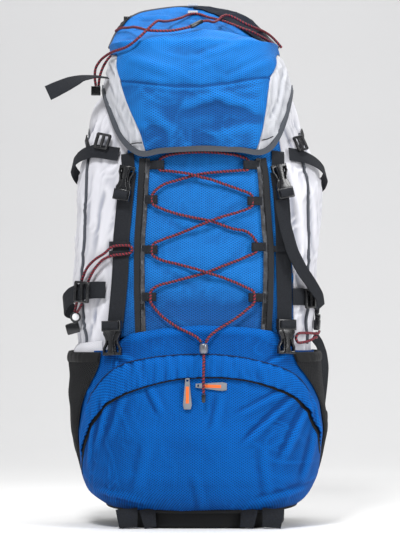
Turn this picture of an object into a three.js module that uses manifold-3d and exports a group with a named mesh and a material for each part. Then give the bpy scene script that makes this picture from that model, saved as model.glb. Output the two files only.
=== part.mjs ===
// Hiking backpack standing on its base, lid and lacing to the front.
// Millimetres, +Z up, the front faces -Y. The origin lies on the floor under the middle of the base.
import * as THREE from "three";
import { mergeVertices } from "three/addons/utils/BufferGeometryUtils.js";
import Module from "manifold-3d";

const wasm = await Module();
wasm.setup();

// Sack
const SACK_WIDTH = 376;
const SACK_DEPTH = 250;
const SACK_HEIGHT = 668;
const CLOTH = 2;
const MESH_CLOTH = 1.6;
const SEAM = 0.8;
const LIFT = 0.8;
const FRONT_PANEL_HALF = 138;
const FRONT_PANEL_FOOT = 285;
const COMPARTMENT_HEIGHT = 300;
const COMPARTMENT_ANGLE = 84;
const LOWER_SIDE_ANGLE = 81;
const SIDE_SEAM_HEIGHT = 262;
const BACK_SEAM_ANGLE = 140;

// Base
const BOOT_HEIGHT = 29.5;
const BOOT_HALF_WIDTH = 126;
const BOOT_FRONT = 108;
const BOOT_BACK = 84;

// Lid
const LID_WIDTH = 296;
const LID_DEPTH = 270;
const LID_RIM = 724;
const LID_TOP = 784;
const LID_ROLL = 70;
const BINDING_WIDTH = 8;
const BINDING_THICKNESS = 4.5;

// Webbing, cords and moulded pieces
const WEBBING = 25;
const NARROW_WEBBING = 20;
const WEBBING_THICKNESS = 1.5;
const CORD = 4;
const CORD_SIDES = 8;
const ZIP_STRIP = 15;
const ZIP_STRIP_THICKNESS = 3;
const LOOP_LENGTH = 9;
const LOOP_BORE = 7.2;
const LOOP_WALL = 1.2;
const POCKET_DEPTH = { left: 9, right: 7 };
const POCKET_FOOT = 62;
const POCKET_LIFT = 6.5;
const BUCKLE_CLEARANCE = 0.5;
const MOULDING = 5;
const LOCK_RADIUS = 6.5;
const LOCK_LENGTH = 15;

// Harness
const BACK_PAD_THICKNESS = 14;
const SHOULDER_WIDTH = 62;
const SHOULDER_THICKNESS = 12;
const BELT_THICKNESS = 12;
const BELT_HEIGHT = 84;

// Sections of the sack, from the foot up. Heights are shares of SACK_HEIGHT,
// left and right of half the width, front and back of the depth.
const SACK_SECTIONS = [
  { up: 0.045, left: 0.69, right: 0.69, front: 0.44, back: 0.34, power: 3 },
  { up: 0.055, left: 0.77, right: 0.79, front: 0.49, back: 0.37, power: 3 },
  { up: 0.080, left: 0.89, right: 0.86, front: 0.55, back: 0.39, power: 3 },
  { up: 0.118, left: 0.94, right: 0.92, front: 0.585, back: 0.40, power: 3 },
  { up: 0.217, left: 0.96, right: 0.955, front: 0.615, back: 0.40, power: 3 },
  { up: 0.296, left: 0.975, right: 0.915, front: 0.605, back: 0.40, power: 3 },
  { up: 0.392, left: 0.99, right: 0.89, front: 0.58, back: 0.40, power: 3 },
  { up: 0.543, left: 1.035, right: 0.94, front: 0.535, back: 0.405, power: 3 },
  { up: 0.632, left: 1.02, right: 0.957, front: 0.525, back: 0.41, power: 3 },
  { up: 0.760, left: 1.01, right: 0.985, front: 0.512, back: 0.41, power: 3 },
  { up: 0.805, left: 0.98, right: 0.947, front: 0.505, back: 0.41, power: 3 },
  { up: 0.885, left: 0.91, right: 0.815, front: 0.483, back: 0.405, power: 2.8 },
  { up: 0.928, left: 0.89, right: 0.782, front: 0.465, back: 0.40, power: 2.5 },
  { up: 0.965, left: 0.835, right: 0.74, front: 0.43, back: 0.385, power: 2.3 },
  { up: 0.983, left: 0.76, right: 0.67, front: 0.385, back: 0.355, power: 2.2 },
  { up: 1.000, left: 0.62, right: 0.56, front: 0.32, back: 0.31, power: 2.2 },
];

// Sections of the lid. Heights are shares of LID_TOP, widths of half LID_WIDTH, depths of LID_DEPTH.
const LID_SECTIONS = [
  { up: 0.705, left: 1.00, right: 0.96, front: 0.515, back: 0.39, power: 3 },
  { up: 0.765, left: 1.01, right: 0.96, front: 0.565, back: 0.395, power: 3 },
  { up: 0.815, left: 1.01, right: 0.945, front: 0.590, back: 0.40, power: 3 },
  { up: 0.847, left: 1.00, right: 0.93, front: 0.597, back: 0.405, power: 3 },
  { up: 0.885, left: 0.965, right: 0.885, front: 0.585, back: 0.405, power: 3 },
  { up: 0.923, left: 0.945, right: 0.80, front: 0.555, back: 0.40, power: 3 },
];

// Ridge, valley and rear crest of the lid's top. Depth runs from the front in shares of LID_DEPTH,
// height in shares of LID_TOP.
const LID_CREST = [
  { back: -0.60, up: 0.925 },
  { back: -0.44, up: 0.958 },
  { back: -0.30, up: 0.944 },
  { back: -0.12, up: 0.962 },
  { back: 0.04, up: 0.984 },
  { back: 0.20, up: 1.000 },
  { back: 0.30, up: 0.994 },
  { back: 0.42, up: 0.965 },
];

// Lower edges of the lid at an angle either way from the front, as shares of LID_TOP:
// the foot of its blue face, and the foot of its white sides below that.
const LID_EDGE = [
  { angle: 0, face: 0.722, side: 0.722 },
  { angle: 18, face: 0.718, side: 0.718 },
  { angle: 26, face: 0.714, side: 0.709 },
  { angle: 32, face: 0.765, side: 0.716 },
  { angle: 38, face: 0.797, side: 0.722 },
  { angle: 44, face: 0.83, side: 0.74 },
  { angle: 51, face: 0.90, side: 0.76 },
  { angle: 70, face: 0.90, side: 0.822 },
  { angle: 80, face: 0.90, side: 0.84 },
  { angle: 90, face: 0.90, side: 0.847 },
  { angle: 115, face: 0.90, side: 0.847 },
  { angle: 127.4, face: 0.90, side: 0.847 },
  { angle: 128, face: 0.90, side: 0.847 },
  { angle: 128.6, face: 0.847, side: 0.847 },
  { angle: 156, face: 0.847, side: 0.847 },
];

// Arched flap over the lower zip: an angle round the sack, then its lower and upper edge
// as shares of COMPARTMENT_HEIGHT.
const FLAP = [
  { angle: -77, low: 0.27, high: 0.40 },
  { angle: -68, low: 0.40, high: 0.505 },
  { angle: -60, low: 0.47, high: 0.61 },
  { angle: -50, low: 0.55, high: 0.69 },
  { angle: -40, low: 0.625, high: 0.765 },
  { angle: -28, low: 0.675, high: 0.82 },
  { angle: -14, low: 0.72, high: 0.85 },
  { angle: 0, low: 0.76, high: 0.868 },
  { angle: 14, low: 0.742, high: 0.847 },
  { angle: 28, low: 0.705, high: 0.815 },
  { angle: 40, low: 0.67, high: 0.785 },
  { angle: 50, low: 0.62, high: 0.745 },
  { angle: 60, low: 0.52, high: 0.68 },
  { angle: 68, low: 0.45, high: 0.60 },
  { angle: 77, low: 0.38, high: 0.50 },
];

// Top edge of the lower compartment: share of half the sack's width, then share of COMPARTMENT_HEIGHT.
const COMPARTMENT_TOP = [
  { across: -1.2, up: 0.873 },
  { across: -0.75, up: 0.885 },
  { across: -0.56, up: 0.965 },
  { across: -0.30, up: 0.995 },
  { across: 0.0, up: 1.01 },
  { across: 0.35, up: 1.0 },
  { across: 0.55, up: 0.98 },
  { across: 0.75, up: 0.885 },
  { across: 1.2, up: 0.873 },
];

// Front edge of each side pocket: share of SIDE_SEAM_HEIGHT, then the angles on the left and the right.
const POCKET_EDGE = [
  { up: 0.22, left: 92, right: 92 },
  { up: 0.40, left: 90, right: 90 },
  { up: 0.50, left: 84, right: 88 },
  { up: 0.58, left: 75, right: 86 },
  { up: 0.69, left: 67, right: 83 },
  { up: 0.79, left: 57, right: 68 },
  { up: 0.87, left: 49, right: 56 },
  { up: 0.93, left: 45, right: 48 },
  { up: 1.0, left: 43, right: 44 },
];

const DEGREE = Math.PI / 180;

// Helpers

const lerp = (a, b, t) => a + (b - a) * t;

// A row of a table at one value of its column, straight between two rows.
function readTable(rows, column, value) {
  let i = 0;
  while (i < rows.length - 2 && rows[i + 1][column] < value) i += 1;
  const t = (value - rows[i][column]) / (rows[i + 1][column] - rows[i][column]);
  const row = {};
  for (const name of Object.keys(rows[i])) row[name] = lerp(rows[i][name], rows[i + 1][name], t);
  return row;
}

// A point of a rounded section. Angle 0 is the front, -Y, and a quarter turn is +X.
function sectionPoint(size, angle, z) {
  const across = Math.sin(angle);
  const ahead = Math.cos(angle);
  const power = 2 / size.power;
  const x = Math.sign(across) * (across < 0 ? size.left : size.right) * Math.abs(across) ** power;
  const y = -Math.sign(ahead) * (ahead < 0 ? size.back : size.front) * Math.abs(ahead) ** power;
  return new THREE.Vector3(x, y, z);
}

// A row of shares as the sizes of a section.
const scaled = ({ left, right, front, back, power }, half, depth) => (
  { left: left * half, right: right * half, front: front * depth, back: back * depth, power }
);

function sackSize(z) {
  const row = readTable(SACK_SECTIONS, "up", z / SACK_HEIGHT);
  return scaled(row, SACK_WIDTH / 2, SACK_DEPTH);
}

function lidSize(z) {
  const row = readTable(LID_SECTIONS, "up", z / LID_TOP);
  return scaled(row, LID_WIDTH / 2, LID_DEPTH);
}

const sackSkin = (angle, z) => sectionPoint(sackSize(z), angle, z);
const lidSkin = (angle, z) => sectionPoint(lidSize(z), angle, z);

// The angle round a section at which its front lies a distance across.
function angleAcross(size, x) {
  const share = Math.abs(x) / (x < 0 ? size.left : size.right);
  return Math.sign(x) * Math.asin(Math.min(1, share) ** (size.power / 2));
}

function outward(skin, angle, z) {
  const turn = 0.03;
  const rise = 14;
  const round = skin(angle + turn, z).sub(skin(angle - turn, z));
  const upward = skin(angle, z + rise).sub(skin(angle, z - rise));
  return round.cross(upward).normalize();
}

// A point at a height above the skin of the sack or the lid.
const above = (skin, angle, z, height) => skin(angle, z).addScaledVector(outward(skin, angle, z), height);

const sackFront = (x, z, height) => above(sackSkin, angleAcross(sackSize(z), x), z, height);

// A solid from points and faces, turned so that its faces point out.
function solid(points, faces) {
  let volume = 0;
  for (const [a, b, c] of faces) {
    volume += points[a].dot(points[b].clone().cross(points[c]));
  }
  const geometry = new THREE.BufferGeometry();
  geometry.setAttribute("position", new THREE.Float32BufferAttribute(points.flatMap((p) => p.toArray()), 3));
  geometry.setIndex(faces.flatMap(([a, b, c]) => (volume < 0 ? [a, c, b] : [a, b, c])));
  return geometry;
}

// Cloth: a grid of points, given a wall inwards from it. The grid may close round on itself
// and may end in one middle point.
function cloth(columns, rows, place, wall, { closed = false, pole = null } = {}) {
  const points = [];
  const width = closed ? columns : columns + 1;
  for (let j = 0; j <= rows; j += 1) {
    for (let i = 0; i < width; i += 1) points.push(place(i / columns, j / rows));
  }
  const faces = [];
  for (let j = 0; j < rows; j += 1) {
    for (let i = 0; i < columns; i += 1) {
      const [a, b] = [j * width + i, j * width + ((i + 1) % width)];
      faces.push([a, b, b + width], [a, b + width, a + width]);
    }
  }
  if (pole) {
    points.push(pole);
    for (let i = 0; i < columns; i += 1) {
      faces.push([rows * width + i, rows * width + ((i + 1) % width), points.length - 1]);
    }
  }
  return thicken(points, faces, wall);
}

// Gives an open surface a wall on the side that its faces don't look to.
function thicken(points, faces, wall) {
  const normals = points.map(() => new THREE.Vector3());
  const edges = new Map();
  for (const [a, b, c] of faces) {
    const normal = points[b].clone().sub(points[a]).cross(points[c].clone().sub(points[a]));
    for (const corner of [a, b, c]) normals[corner].add(normal);
    for (const [from, to] of [[a, b], [b, c], [c, a]]) {
      if (!edges.delete(`${to} ${from}`)) edges.set(`${from} ${to}`, [from, to]);
    }
  }
  const count = points.length;
  const inner = points.map((point, i) => point.clone().addScaledVector(normals[i].normalize(), -wall));
  const shell = [...faces];
  for (const [a, b, c] of faces) shell.push([a + count, c + count, b + count]);
  for (const [from, to] of edges.values()) {
    shell.push([from, from + count, to + count], [from, to + count, to]);
  }
  return solid([...points, ...inner], shell);
}

// Sweeps a section along stations. A station has its place and two axes, a section its corners on them.
function sweep(stations, section, closed = false) {
  const points = [];
  for (const { place, across, out, scale = 1 } of stations) {
    for (const [a, b] of section) {
      points.push(place.clone().addScaledVector(across, a * scale).addScaledVector(out, b));
    }
  }
  const size = section.length;
  const faces = [];
  const last = closed ? stations.length : stations.length - 1;
  for (let i = 0; i < last; i += 1) {
    const [here, next] = [i * size, ((i + 1) % stations.length) * size];
    for (let k = 0; k < size; k += 1) {
      const m = (k + 1) % size;
      faces.push([here + k, here + m, next + m], [here + k, next + m, next + k]);
    }
  }
  if (!closed) {
    const end = (stations.length - 1) * size;
    for (let k = 1; k < size - 1; k += 1) {
      faces.push([0, k + 1, k], [end, end + k, end + k + 1]);
    }
  }
  return solid(points, faces);
}

// Stations along points that lie on a surface with known outward directions.
function stationsAlong(points, outs, closed = false) {
  const count = points.length;
  return points.map((place, i) => {
    const next = closed ? points[(i + 1) % count] : points[Math.min(i + 1, count - 1)];
    const before = closed ? points[(i + count - 1) % count] : points[Math.max(i - 1, 0)];
    const along = next.clone().sub(before).normalize();
    const across = along.clone().cross(outs[i]).normalize();
    return { place, across, out: across.clone().cross(along).normalize() };
  });
}

const strapSection = (width, low, thickness) => [
  [-width / 2, low], [width / 2, low], [width / 2, low + thickness], [-width / 2, low + thickness],
];

// Webbing over the sack along a route whose rows give the angle round the sack, the height and
// how far the webbing lifts off.
function strapOnSack(route, width, low, thickness, steps) {
  const places = [];
  const outs = [];
  for (let i = 0; i <= steps; i += 1) {
    const row = readTable(route, "at", i / steps);
    const angle = row.angle * DEGREE;
    places.push(above(sackSkin, angle, row.z, row.off));
    outs.push(outward(sackSkin, angle, row.z));
  }
  return sweep(stationsAlong(places, outs), strapSection(width, low, thickness));
}

// A route's rows get the share of the way at which they lie, by their number.
const spread = (rows) => rows.map((row, i) => ({ at: i / (rows.length - 1), ...row }));

const frontAngle = (x, z) => angleAcross(sackSize(z), x) / DEGREE;

// A round cord along hand-chosen points.
function cord(route, divisions) {
  const points = route.map(([x, y, z]) => new THREE.Vector3(x, y, z));
  const curve = new THREE.CatmullRomCurve3(points, false, "centripetal");
  const places = curve.getPoints(divisions);
  const frames = [];
  let across = new THREE.Vector3(0, 0, 1);
  places.forEach((place, i) => {
    const next = places[Math.min(i + 1, divisions)];
    const along = next.clone().sub(places[Math.max(i - 1, 0)]).normalize();
    if (i === 0 && Math.abs(along.z) > 0.9) across = new THREE.Vector3(1, 0, 0);
    across = across.clone().addScaledVector(along, -across.dot(along)).normalize();
    frames.push({ place, across, out: along.clone().cross(across) });
  });
  const round = [];
  for (let k = 0; k < CORD_SIDES; k += 1) {
    const turn = (k / CORD_SIDES) * 2 * Math.PI;
    round.push([Math.cos(turn) * CORD / 2, Math.sin(turn) * CORD / 2]);
  }
  return sweep(frames, round);
}

// Booleans
function toManifold(geometry) {
  const bare = geometry.clone();
  bare.deleteAttribute("normal");
  bare.deleteAttribute("uv");
  const merged = mergeVertices(bare, 1e-4);
  return new wasm.Manifold(new wasm.Mesh({
    numProp: 3,
    vertProperties: new Float32Array(merged.attributes.position.array),
    triVerts: new Uint32Array(merged.index.array),
  }));
}

function fromManifold(body) {
  const { vertProperties, triVerts } = body.getMesh();
  const geometry = new THREE.BufferGeometry();
  geometry.setAttribute("position", new THREE.BufferAttribute(new Float32Array(vertProperties), 3));
  geometry.setIndex(new THREE.BufferAttribute(new Uint32Array(triVerts), 1));
  return geometry;
}

const fuse = (first, ...others) =>
  fromManifold(others.reduce((body, other) => body.add(toManifold(other)), toManifold(first)));

const cut = (first, ...tools) =>
  fromManifold(tools.reduce((body, tool) => body.subtract(toManifold(tool)), toManifold(first)));

// Where a moulded piece sits: X across, Y up along the sack, Z out of it.
function seat(place, out, lean = 0) {
  const up = new THREE.Vector3(0, 0, 1);
  const across = up.clone().cross(out).normalize();
  const rise = out.clone().cross(across).normalize();
  const matrix = new THREE.Matrix4().makeBasis(across, rise, out);
  matrix.setPosition(place);
  return matrix.multiply(new THREE.Matrix4().makeRotationZ(lean * DEGREE));
}

const seatOnSack = (x, z, height, lean = 0) => seat(
  sackFront(x, z, height), outward(sackSkin, angleAcross(sackSize(z), x), z), lean,
);

const placed = (geometry, matrix) => geometry.clone().applyMatrix4(matrix);

function outline(points) {
  return new THREE.Shape(points.map(([x, y]) => new THREE.Vector2(x, y)));
}

function rectangle(x0, y0, x1, y1) {
  return outline([[x0, y0], [x1, y0], [x1, y1], [x0, y1]]);
}

function plate(shape, thickness, bevel = 0) {
  const geometry = new THREE.ExtrudeGeometry(shape, {
    depth: thickness - 2 * bevel,
    bevelEnabled: bevel > 0,
    bevelThickness: bevel,
    bevelSize: bevel,
    bevelOffset: -bevel,
    bevelSegments: 1,
    curveSegments: 4,
  });
  return geometry.translate(0, 0, bevel);
}

// Materials
const finish = (color, roughness, metalness = 0) => (
  new THREE.MeshStandardMaterial({ color, roughness, metalness })
);
const blueCloth = () => finish(0x1463c0, 0.75);
const whiteCloth = () => finish(0xdcdcde, 0.8);
const blackCloth = () => finish(0x17181a, 0.85);
const greyBinding = () => finish(0x4b4d51, 0.8);
const webbing = () => finish(0x222326, 0.8);
const netting = () => finish(0x101113, 0.9);
const moulded = () => finish(0x1b1c1f, 0.45);
const cordBraid = () => finish(0x7a1f2b, 0.7);
const metalLock = () => finish(0x3a3c40, 0.35, 0.8);
const padding = () => finish(0x1f2023, 0.9);

const backpack = new THREE.Group();

function add(name, geometry, material) {
  const mesh = new THREE.Mesh(geometry, material);
  mesh.name = name;
  backpack.add(mesh);
}

// A panel of the sack between two angles and two heights that may change along it.
// Its rows lie at the sections, so neighbouring panels bend at the same heights.
function sackPanel(columns, rows, angleAt, heightAt, height, wall) {
  return cloth(columns, rows, (u, v) => {
    const z = heightAt(u, v);
    return above(sackSkin, angleAt(u, z), z, height);
  }, wall);
}

const sectionHeights = SACK_SECTIONS.map((row) => row.up * SACK_HEIGHT);

// The heights of the sections between two heights, both ends included.
function rowsBetween(low, high) {
  const inside = sectionHeights.filter((z) => z > low + 6 && z < high - 6);
  return [low, ...inside, high];
}

function gridPanel(columns, heights, angleAt, height, wall) {
  const rows = heights.length - 1;
  const heightAt = (u, v) => heights[Math.round(v * rows)];
  return sackPanel(columns, rows, angleAt, heightAt, height, wall);
}

// Sack panels
const frontHeights = rowsBetween(FRONT_PANEL_FOOT, SACK_HEIGHT);
const frontHalf = FRONT_PANEL_HALF - SEAM / 2;
// Towards the mouth the panel narrows with the sack.
const frontEdge = (side, z) => side * Math.min(
  frontHalf, 0.93 * (side < 0 ? sackSize(z).left : sackSize(z).right),
);
add("front_panel", gridPanel(8, frontHeights, (u, z) => {
  const x = lerp(frontEdge(-1, z), frontEdge(1, z), u);
  return angleAcross(sackSize(z), x);
}, 0, CLOTH), blueCloth());

const sideHeights = rowsBetween(SIDE_SEAM_HEIGHT, SACK_HEIGHT);
for (const [name, side] of [["left", -1], ["right", 1]]) {
  add(`side_panel_${name}`, gridPanel(8, sideHeights, (u, z) => {
    const seam = angleAcross(sackSize(z), frontEdge(side, z) + side * SEAM);
    const back = side * BACK_SEAM_ANGLE * DEGREE;
    return side < 0 ? lerp(back, seam, u) : lerp(seam, back, u);
  }, 0, CLOTH), whiteCloth());
}

// The lower side panels and the back stand inside the boot's edge and reach up to the white sides.
const footHeight = sectionHeights[0];
const lowerHeights = rowsBetween(footHeight, SIDE_SEAM_HEIGHT - SEAM);
for (const [name, side] of [["left", -1], ["right", 1]]) {
  add(`lower_side_${name}`, gridPanel(5, lowerHeights, (u) => {
    const [front, back] = [side * LOWER_SIDE_ANGLE * DEGREE, side * BACK_SEAM_ANGLE * DEGREE];
    return side < 0 ? lerp(back, front, u) : lerp(front, back, u);
  }, 0, CLOTH), blackCloth());
}

const backGap = 0.5;
const backHeights = rowsBetween(footHeight, SACK_HEIGHT);
add("back_panel", gridPanel(6, backHeights, (u) => (
  lerp(BACK_SEAM_ANGLE + backGap, 360 - BACK_SEAM_ANGLE - backGap, u) * DEGREE
), 0, CLOTH), blackCloth());

// Lower compartment, with shallow folds that fan out from the corners of the arch
const FOLD_DEPTH = 5;
const compartmentTop = (x) => (
  COMPARTMENT_HEIGHT * readTable(COMPARTMENT_TOP, "across", x / (SACK_WIDTH / 2)).up
);
function foldHeight(angle, z) {
  const share = z / COMPARTMENT_HEIGHT;
  const fan = Math.sin(9 * angle + 5 * share) * Math.sin(Math.PI * Math.min(1, share));
  const fade = Math.max(0, 1 - Math.abs(angle / (65 * DEGREE)) ** 4);
  return FOLD_DEPTH * 0.5 * (1 + fan) * fade * Math.sin(Math.PI * Math.min(1, Math.max(0, share)));
}
const compartmentRows = rowsBetween(footHeight, SIDE_SEAM_HEIGHT);
add("lower_compartment", cloth(20, compartmentRows.length, (u, v) => {
  const angle = lerp(-COMPARTMENT_ANGLE, COMPARTMENT_ANGLE, u) * DEGREE;
  const row = Math.round(v * compartmentRows.length);
  const top = compartmentTop(sackSkin(angle, COMPARTMENT_HEIGHT).x);
  const z = row < compartmentRows.length ? Math.min(compartmentRows[row], top - CLOTH) : top;
  return above(sackSkin, angle, z, LIFT + CLOTH + foldHeight(angle, z));
}, CLOTH), blueCloth());

// Arched flap over the zip of the lower compartment, gathered in small puckers
const FLAP_WALL = 3;
const PUCKER = 1.6;
const flapColumns = 30;
add("zip_flap", cloth(flapColumns, 2, (u, v) => {
  const angle = lerp(FLAP[0].angle, FLAP[FLAP.length - 1].angle, u);
  const row = readTable(FLAP, "angle", angle);
  const z = COMPARTMENT_HEIGHT * lerp(row.low, row.high, v);
  const pucker = PUCKER * (Math.round(u * flapColumns) % 2);
  const swell = v === 0.5 ? 2.5 : 0;
  const rest = LIFT + CLOTH + foldHeight(angle * DEGREE, z) + LIFT;
  return above(sackSkin, angle * DEGREE, z, rest + 1.5 + FLAP_WALL + pucker + swell);
}, FLAP_WALL), blueCloth());

// Base boot: an open tray with a flat floor
const BOOT = { left: 1, right: 1, front: BOOT_FRONT / BOOT_BACK, back: 1, power: 3 };
const bootSize = (share) => scaled(BOOT, BOOT_HALF_WIDTH * share, BOOT_BACK * share);
const bootRings = [
  { share: 0.35, z: 0 },
  { share: 0.70, z: 0 },
  { share: 0.96, z: 0 },
  { share: 1.00, z: 6 },
  { share: 1.01, z: BOOT_HEIGHT },
];
add("base_boot", cloth(16, bootRings.length - 1, (u, v) => {
  const ring = bootRings[bootRings.length - 1 - Math.round(v * (bootRings.length - 1))];
  return sectionPoint(bootSize(ring.share), -u * 2 * Math.PI, ring.z);
}, CLOTH, { closed: true, pole: new THREE.Vector3(0, 0, 0) }), blackCloth());

// Side pockets of netting, open at the top
const POCKET_BACK = 106;
for (const [name, side] of [["left", -1], ["right", 1]]) {
  const columns = 8;
  const rows = 6;
  add(`mesh_pocket_${name}`, cloth(columns, rows, (u, v) => {
    const z = lerp(POCKET_FOOT, SIDE_SEAM_HEIGHT, v);
    const front = readTable(POCKET_EDGE, "up", z / SIDE_SEAM_HEIGHT)[name];
    const turn = side < 0 ? lerp(-POCKET_BACK, -front, u) : lerp(front, POCKET_BACK, u);
    const bulge = Math.sin(Math.PI * u) ** 0.5 * Math.sin(Math.PI * Math.min(0.75, v)) ** 0.6;
    const lift = lerp(2 * LIFT, POCKET_LIFT, Math.min(1, 3 * v));
    return above(sackSkin, turn * DEGREE, z, lift + POCKET_DEPTH[name] * bulge + MESH_CLOTH);
  }, MESH_CLOTH), netting());
}

// Strips of the front zips, each with its lacing loops
const LACE_LOOPS = {
  left: [[-62, 540], [-72, 489], [-72, 415], [-74, 345]],
  right: [[70, 540], [76, 487], [82, 419], [78, 344]],
};
const ZIP_LINES = {
  left: [[-84, 550], [-88, 480], [-92, 422], [-92, 345], [-90, 306]],
  right: [[89, 550], [93, 520], [95.5, 480], [101, 415], [100, 345], [97, 306]],
};
const loopHeight = LOOP_BORE + 2 * LOOP_WALL;
// How far across the strip runs at a height.
function zipLine(name, z) {
  const rows = ZIP_LINES[name].map(([x, height]) => ({ x, down: -height }));
  return readTable(rows, "down", -z).x;
}
for (const [name, side] of [["left", -1], ["right", 1]]) {
  const route = spread(ZIP_LINES[name].map(([x, z]) => ({ z, angle: frontAngle(x, z), off: 0 })));
  const strip = strapOnSack(route, ZIP_STRIP, LIFT, ZIP_STRIP_THICKNESS, 10);
  const loops = LACE_LOOPS[name].map(([x, z]) => {
    const half = loopHeight / 2;
    const block = plate(rectangle(-half, -LOOP_LENGTH / 2, half, LOOP_LENGTH / 2), loopHeight);
    const bore = new THREE.CylinderGeometry(LOOP_BORE / 2, LOOP_BORE / 2, LOOP_LENGTH * 2, 6);
    const sleeve = cut(block, bore.translate(0, 0, LOOP_WALL + LOOP_BORE / 2));
    const seam = side * (half - 1);
    const reach = zipLine(name, z) - x;
    const [near, far] = [Math.min(seam, reach), Math.max(seam, reach)];
    const tab = plate(rectangle(near, -LOOP_LENGTH / 2, far, LOOP_LENGTH / 2), LOOP_WALL * 1.5);
    return placed(fuse(sleeve, tab), seatOnSack(x, z, LIFT));
  });
  add(`zip_strip_${name}`, fuse(strip, ...loops), blackCloth());
}

// Piping down the sides of the sack
const PIPING = 4.5;
const PIPING_LINES = {
  left: [[-171, 600], [-170, 538], [-172, 481], [-175, 422], [-177, 368], [-178, 330], [-172, 275]],
  right: [[149, 590], [152, 548], [161, 508], [161, 461], [161, 404], [158, 345], [158, 275]],
};
for (const name of ["left", "right"]) {
  const route = spread(PIPING_LINES[name].map(([x, z]) => ({ z, angle: frontAngle(x, z), off: 0 })));
  add(`side_piping_${name}`, strapOnSack(route, PIPING, LIFT, PIPING / 2, 14), greyBinding());
}

// Lid: walls up to the rim, then a rolled crest with a ridge, a valley and a higher rear
const lidMiddle = (lidSize(LID_RIM).right - lidSize(LID_RIM).left) / 2;
function crestHeight(x, y) {
  const height = readTable(LID_CREST, "back", y / LID_DEPTH).up * LID_TOP;
  const half = (lidSize(LID_RIM).left + lidSize(LID_RIM).right) / 2;
  const share = (x - lidMiddle) / half;
  return height - LID_ROLL * Math.abs(share) ** (share < 0 ? 14 : 4);
}

// A point of the lid: up the wall as v goes from 0 to 1, over the crest to its middle as v goes to 2.
function lidPoint(angle, v, foot, height = 0) {
  if (v <= 1) return above(lidSkin, angle, lerp(foot, LID_RIM, v), height);
  const radius = 2 - v;
  const rim = lidSkin(angle, LID_RIM);
  const x = lerp(lidMiddle, rim.x, radius);
  const y = rim.y * radius;
  const rise = (1 - radius ** 4) ** 0.5;
  return new THREE.Vector3(x, y, lerp(LID_RIM, crestHeight(x, y), rise) + height * rise);
}

// The ring of angles round the lid, from the back by its left side to the back again.
const aheadAngles = LID_EDGE.map((row) => row.angle);
const lidRing = [...aheadAngles.slice(1).map((angle) => -angle).reverse(), ...aheadAngles, 180];
const CREST_RADII = [0.93, 0.80, 0.58, 0.30];
const LID_WALL_ROWS = 3;
const lastEdge = LID_EDGE[LID_EDGE.length - 1].angle;
const lidFoot = (angle, column) => (
  LID_TOP * readTable(LID_EDGE, "angle", Math.min(lastEdge, Math.abs(angle)))[column]
);
const hoodRows = LID_WALL_ROWS + CREST_RADII.length;
const crestMiddle = new THREE.Vector3(lidMiddle, 0, crestHeight(lidMiddle, 0));
add("lid_hood", cloth(lidRing.length, hoodRows, (u, v) => {
  const angle = lidRing[Math.round(u * lidRing.length) % lidRing.length];
  const row = Math.round(v * hoodRows);
  const way = row <= LID_WALL_ROWS ? row / LID_WALL_ROWS : 2 - CREST_RADII[row - LID_WALL_ROWS - 1];
  return lidPoint(angle * DEGREE, way, lidFoot(angle, "face"));
}, CLOTH, { closed: true, pole: crestMiddle }), blueCloth());

const sideAngles = aheadAngles.filter((angle) => angle >= 26 && angle < 128);
for (const [name, side] of [["left", -1], ["right", 1]]) {
  const columns = sideAngles.length - 1;
  add(`lid_side_${name}`, cloth(columns, 2, (u, v) => {
    const step = Math.round(u * columns);
    const angle = side * sideAngles[side < 0 ? columns - step : step];
    const z = lerp(lidFoot(angle, "side"), lidFoot(angle, "face") - 3 * SEAM, v);
    return above(lidSkin, angle * DEGREE, z, 0);
  }, CLOTH), whiteCloth());
}

// Binding along the whole lower edge of the lid
const bindingPlaces = [];
const bindingOuts = [];
for (const angle of lidRing) {
  const z = lidFoot(angle, "side");
  bindingPlaces.push(lidSkin(angle * DEGREE, z));
  bindingOuts.push(outward(lidSkin, angle * DEGREE, z));
}
add("lid_binding", sweep(stationsAlong(bindingPlaces, bindingOuts, true), [
  [SEAM, CLOTH - BINDING_THICKNESS], [SEAM + BINDING_WIDTH, CLOTH - BINDING_THICKNESS],
  [SEAM + BINDING_WIDTH, CLOTH / 2], [SEAM, CLOTH / 2],
], true), greyBinding());

// Zip along the rear crest of the lid, from side to side behind the top
const LID_ZIP_WIDTH = 14;
const LID_ZIP_ANGLE = 103;
const LID_ZIP_STEPS = 14;
const zipPlaces = [];
const zipOuts = [];
for (let i = 0; i <= LID_ZIP_STEPS; i += 1) {
  const share = i / LID_ZIP_STEPS;
  const angle = lerp(LID_ZIP_ANGLE, 360 - LID_ZIP_ANGLE, share) * DEGREE;
  const way = 1.11 + 0.12 * Math.sin(Math.PI * share) ** 0.5;
  const here = lidPoint(angle, way, LID_RIM);
  const round = lidPoint(angle + 0.05, way, LID_RIM).sub(lidPoint(angle - 0.05, way, LID_RIM));
  const inward = lidPoint(angle, way + 0.03, LID_RIM).sub(here);
  zipPlaces.push(here);
  zipOuts.push(round.cross(inward).normalize());
}
const lidZipSection = strapSection(LID_ZIP_WIDTH, 3 * LIFT, 2);
add("lid_zip", sweep(stationsAlong(zipPlaces, zipOuts), lidZipSection), blackCloth());

// Webbing
const frontRoute = (points) => spread(points.map(([x, z, off = 0]) => ({ z, angle: frontAngle(x, z), off })));
const sideRoute = (points) => spread(points.map(([angle, z, off = 0]) => ({ z, angle, off })));

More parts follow.
